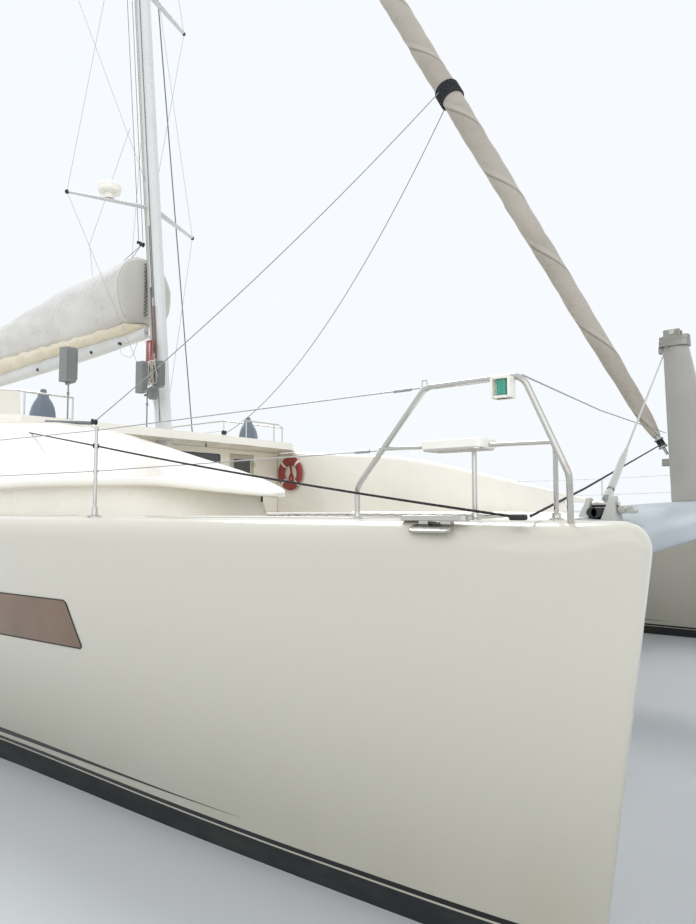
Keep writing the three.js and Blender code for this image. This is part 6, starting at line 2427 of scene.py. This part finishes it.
@dataclass
class Topside:
    """What stands on the roof and in the cockpit: helm, seats, winches, speakers and the lifebuoy."""

    wheel_x: float = -2.84
    wheel_y: float = -1.5
    wheel_z: float = 4.3
    wheel_radius: float = 0.33
    voxel: float = 0.014
    swell: float = 0.014
    pressure: float = 4.0
    ticks: int = 20
    seat: float = 0.012
    winch_x: float = 1.18
    winch_y: float = 2.3
    speaker_x: float = 1.79
    buoy: Point = (1.45, 3.3512, 2.92)

    def wheel(self) -> None:
        """The steering wheel: rim, five spokes and hub."""
        angles = around(48)
        rim = [
            (
                self.wheel_x, self.wheel_y + self.wheel_radius * math.cos(a),
                self.wheel_z + self.wheel_radius * math.sin(a)
            ) for a in angles
        ]
        chains = [Chain(rim, 0.016, loop=True)]
        middle = (self.wheel_x, self.wheel_y, self.wheel_z)
        chains += [Chain([middle, rim[round(i * 48 / 5) % 48]], 0.009) for i in range(5)]
        chains.append(
            Chain(
                [
                    (-2.8005, self.wheel_y, self.wheel_z),
                    (self.wheel_x - 0.025, self.wheel_y, self.wheel_z)
                ], 0.048
            )
        )
        bars("wheel_rim_and_spokes", chains, Look.STEEL, "helm_wheel", 14, replaces=["helm_wheel"])

    def cushions(self) -> None:
        """Seat cushions, crowned, with their channels."""
        for node in ("flybridge_cushion", "cockpit_cushion"):
            low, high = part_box(node)
            pad = self.filled(self.cushion(low, high), low, high)
            obj = piece(f"{node}_pad", pad, Look.CUSHION, replaces=[node], sharp=80)

    def cushion(self, low: Vector, high: Vector) -> bpy.types.Mesh:
        """A crowned pad split by sewn channels, flat below."""
        size = high - low
        long_axis = 0 if size.x > size.y else 1
        channels = max(2, round(size[long_axis] / 0.75))
        nu, nv = 24 * channels, 20
        us, vs = np.linspace(0, 1, nu + 1), np.linspace(0, 1, nv + 1)
        def height(u: float, v: float) -> float:
            """Thickness at a place, lower at the edges and channels."""
            groove = abs(math.sin(math.pi * u * channels)) ** 0.35
            edge = (min(v, 1 - v) * 2) ** 0.22
            return (0.55 + 0.45 * groove) * edge
        points, faces = [], []
        for top in (1, 0):
            for u in us:
                for v in vs:
                    pull = 0.014 * (1 - abs(math.sin(math.pi * u * channels)) ** 0.5)
                    a, b = u, 0.5 + (v - 0.5) * (1 - pull * 3)
                    along, across = (a, b) if long_axis == 0 else (b, a)
                    z = low.z + (size.z * (0.35 + 0.65 * height(u, v)) if top else 0.0)
                    points.append((low.x + size.x * along, low.y + size.y * across, z))
        row = nv + 1
        half = (nu + 1) * row
        for i in range(nu):
            for j in range(nv):
                a = i * row + j
                faces.append((a, a + row, a + row + 1, a + 1))
                faces.append((half + a, half + a + 1, half + a + row + 1, half + a + row))
        rim = [i * row for i in range(nu + 1)] + [nu * row + j for j in range(1, nv + 1)]
        rim += [i * row + nv for i in range(nu - 1, -1, -1)] + list(range(nv - 1, 0, -1))
        for a, b in zip(rim, rim[1:] + rim[:1]):
            faces.append((a, b, half + b, half + a))
        return mesh_of(points, faces)

    def filled(self, mesh: bpy.types.Mesh, low: Vector, high: Vector) -> bpy.types.Mesh:
        """The pad after a short pressure simulation, no point moved further than the cap.

        Args:
            mesh: The pad as cut.
            low: Low corner of the space that it may fill.
            high: High corner of that space.

        Returns:
            The swollen pad, flat where it rests.
        """
        work = loose(mesh)
        remesh = work.modifiers.new("voxels", "REMESH")
        remesh.mode, remesh.voxel_size = "VOXEL", self.voxel
        start = plain(work)
        work = loose(start.copy())
        cloth = work.modifiers.new("cloth", "CLOTH")
        cloth.settings.use_pressure = True
        cloth.settings.uniform_pressure_force = self.pressure
        cloth.settings.effector_weights.gravity = 0.0
        for tick in range(1, self.ticks + 1):
            bpy.context.scene.frame_set(tick)
        swollen = plain(work)
        bpy.context.scene.frame_set(1)
        for vertex, origin in zip(swollen.vertices, start.vertices):
            move = vertex.co - origin.co
            if move.length > self.swell:
                move *= self.swell / move.length
            place = origin.co + move
            place.z = low.z if origin.co.z < low.z + self.seat else place.z
            vertex.co = [min(max(p, a), b) for p, a, b in zip(place, low, high)]
        log.info("cushion filled: %d points", len(swollen.vertices))
        return swollen

    def winches(self) -> None:
        """Covered winches on the roof."""
        for word, side in SIDES.items():
            profile = [
                (0.0, 0.0), (0.21, 0.0), (0.212, 0.02), (0.204, 0.07), (0.194, 0.16), (0.178, 0.25),
                (0.146, 0.33), (0.108, 0.39), (0.09, 0.42), (0.086, 0.46), (0.07, 0.49), (0.05, 0.5),
                (0.052, 0.53), (0.036, 0.555), (0.0, 0.56)
            ]
            foot_x, foot_y = self.winch_x, side * self.winch_y
            cover = lathe(profile, (foot_x, foot_y, ROOF_TOP), 64)
            for vertex in cover.vertices:
                x, y = vertex.co.x - foot_x, vertex.co.y - foot_y
                a = math.atan2(y, x)
                h = vertex.co.z - ROOF_TOP
                wave = 0.035 * math.sin(a * 9 + h * 6) * (1 - h / 0.6) + 0.02 * math.sin(a * 5 - h * 14)
                pleat = 1 + wave * (h < 0.48)
                vertex.co.x, vertex.co.y = foot_x + x * pleat, foot_y + y * pleat
            obj = piece(
                f"winch_cover_{word}", cover, Look.COVER, replaces=[f"covered_winch_{word}"], sharp=70
            )

    def speakers(self) -> None:
        """Loudspeakers under ribbed covers, on poles at the front of the roof."""
        for word, y, boxes in (
            ("outer", -2.2, ((0.0, 0.13),)), ("inner", -0.7, ((-0.125, 0.075), (0.25, 0.062)))
        ):
            solids = []
            for shift, half in boxes:
                middle = y + shift
                wide, thin = half, half * 0.7
                plan = [
                    (1.69, middle - wide), (1.89, middle - thin), (1.89, middle + thin),
                    (1.69, middle + wide)
                ]
                low, top = (4.32, 4.8) if shift > 0 else (4.17, 4.73)
                solids.append(slab(rounded(plan, 0.04), low, top))
                for i in range(7):
                    place = middle + half * 0.7 * (i / 3 - 1)
                    solids.append(
                        block((1.88, place - 0.006, low + 0.03), (1.898, place + 0.006, top - 0.03))
                    )
            piece(
                f"speaker_box_{word}", merged(*solids), Look.SPEAKER, replaces=[f"speaker_{word}"],
                bevel=0.01
            )
            x = self.speaker_x
            pole = [Chain([(x, y, ROOF_TOP), (x, y, 4.2)], 0.012)]
            pole.append(Chain([(x, y, ROOF_TOP), (x, y, ROOF_TOP + 0.012)], 0.08))
            if word == "inner":
                pole.append(Chain([(x, y, 4.2), (x, y + 0.2, 4.36)], 0.012))
            pole += [
                Chain([(1.72, y, 4.15), (1.86, y, 4.15)], 0.022),
                Chain([(x, y, 3.96), (x, y, 4.0)], 0.021)
            ]
            bars(f"speaker_pole_{word}", pole, Look.SPEAKER, sides=20)

    def lifebuoy(self) -> None:
        """The ring on the port coachroof's inner wall."""
        x0, y0, z0 = self.buoy
        rings = []
        for a in around(64):
            ring = []
            for b in around(24):
                r = 0.286 + 0.094 * math.cos(b)
                ring.append((x0 + r * math.cos(a), y0 + 0.048 * math.sin(b), z0 + r * math.sin(a)))
            rings.append(ring)
        piece("lifebuoy_ring", loft(rings, loop=True), Look.BUOY, replaces=["lifebuoy"])
        line = []
        for a in around(96):
            r = 0.372 + 0.02 * abs(math.sin(2 * a + math.pi / 2))
            line.append((x0 + r * math.cos(a), y0 - 0.01, z0 + r * math.sin(a)))
        strop = [
            (x0 + u, y0 + 0.015, z0 + v) for u,
            v in ((-0.03, 0.2), (0.0, 0.02), (-0.05, -0.12), (0.0, -0.19), (0.05, -0.12), (0.0, 0.02))
        ]
        bars("lifebuoy_strop", [Chain(fair(strop, 6), 0.022)], Look.ROPE_RED, sides=8)
        bars("lifebuoy_grab_line", [Chain(line, 0.005, loop=True)], Look.ROPE_PALE, sides=8)

    def build(self) -> None:
        """Builds the fittings of roof and cockpit."""
        self.wheel()
        self.cushions()
        self.winches()
        self.speakers()
        self.lifebuoy()


@dataclass
class Studio:
    """The pale floor at the waterline, soft light and the camera at the photograph's place."""

    eye: Point = (12.42, -8.05, 2.1)
    heading: float = 39.2
    pitch: float = 3.9
    lens: float = 27.27

    def build(self) -> None:
        """Sets floor, lights, world and camera."""
        shader = Shader("studio_floor")
        shader.put(base_color=shader.mix(shader.noise(0.3, 3), (198, 200, 202), (188, 191, 194)))
        shader.put(roughness=shader.noise(2, 3) * 0.1 + 0.75)
        floor = bpy.data.objects.new("studio_floor", slab(corners(-400, -400, 400, 400), -0.01, 0.0))
        floor.data.materials.append(shader.material)
        bpy.context.scene.collection.objects.link(floor)
        world = bpy.data.worlds.new("studio_sky")
        bpy.context.scene.world = world
        world.use_nodes = True
        sky = world.node_tree.nodes["Background"]
        sky.inputs["Color"].default_value = (0.93, 0.965, 1.0, 1)
        sky.inputs["Strength"].default_value = 1.0
        for name, strength, spread, lean, turn in (
            ("key", 2.2, 30, 38, -125), ("fill", 0.95, 90, 78, 39)
        ):
            light = bpy.data.lights.new(f"studio_{name}", "SUN")
            light.energy, light.angle = strength, math.radians(spread)
            lamp = bpy.data.objects.new(f"studio_{name}", light)
            lamp.rotation_euler = (math.radians(lean), 0, math.radians(turn))
            bpy.context.scene.collection.objects.link(lamp)
        camera = bpy.data.cameras.new("camera")
        camera.lens, camera.sensor_width = self.lens, 36.0
        camera.clip_end = 500
        obj = bpy.data.objects.new("camera", camera)
        h, p = math.radians(self.heading), math.radians(self.pitch)
        look = Vector((-math.sin(h) * math.cos(p), math.cos(h) * math.cos(p), math.sin(p)))
        obj.location = self.eye
        obj.rotation_euler = look.to_track_quat("-Z", "Y").to_euler()
        bpy.context.scene.collection.objects.link(obj)
        bpy.context.scene.camera = obj
        bpy.context.scene.view_settings.view_transform = "Standard"


def main() -> None:
    """Builds every sub-assembly in order."""
    Studio().build()
    for assembly in (
        Hulls, Coachroofs, UnderwaterGear, Deckhouse, Foredeck, Rails, Rig, Sails, Running, Topside
    ):
        log.info("%s", assembly.__name__)
        assembly().build()


if __name__ == "__main__":
    main()
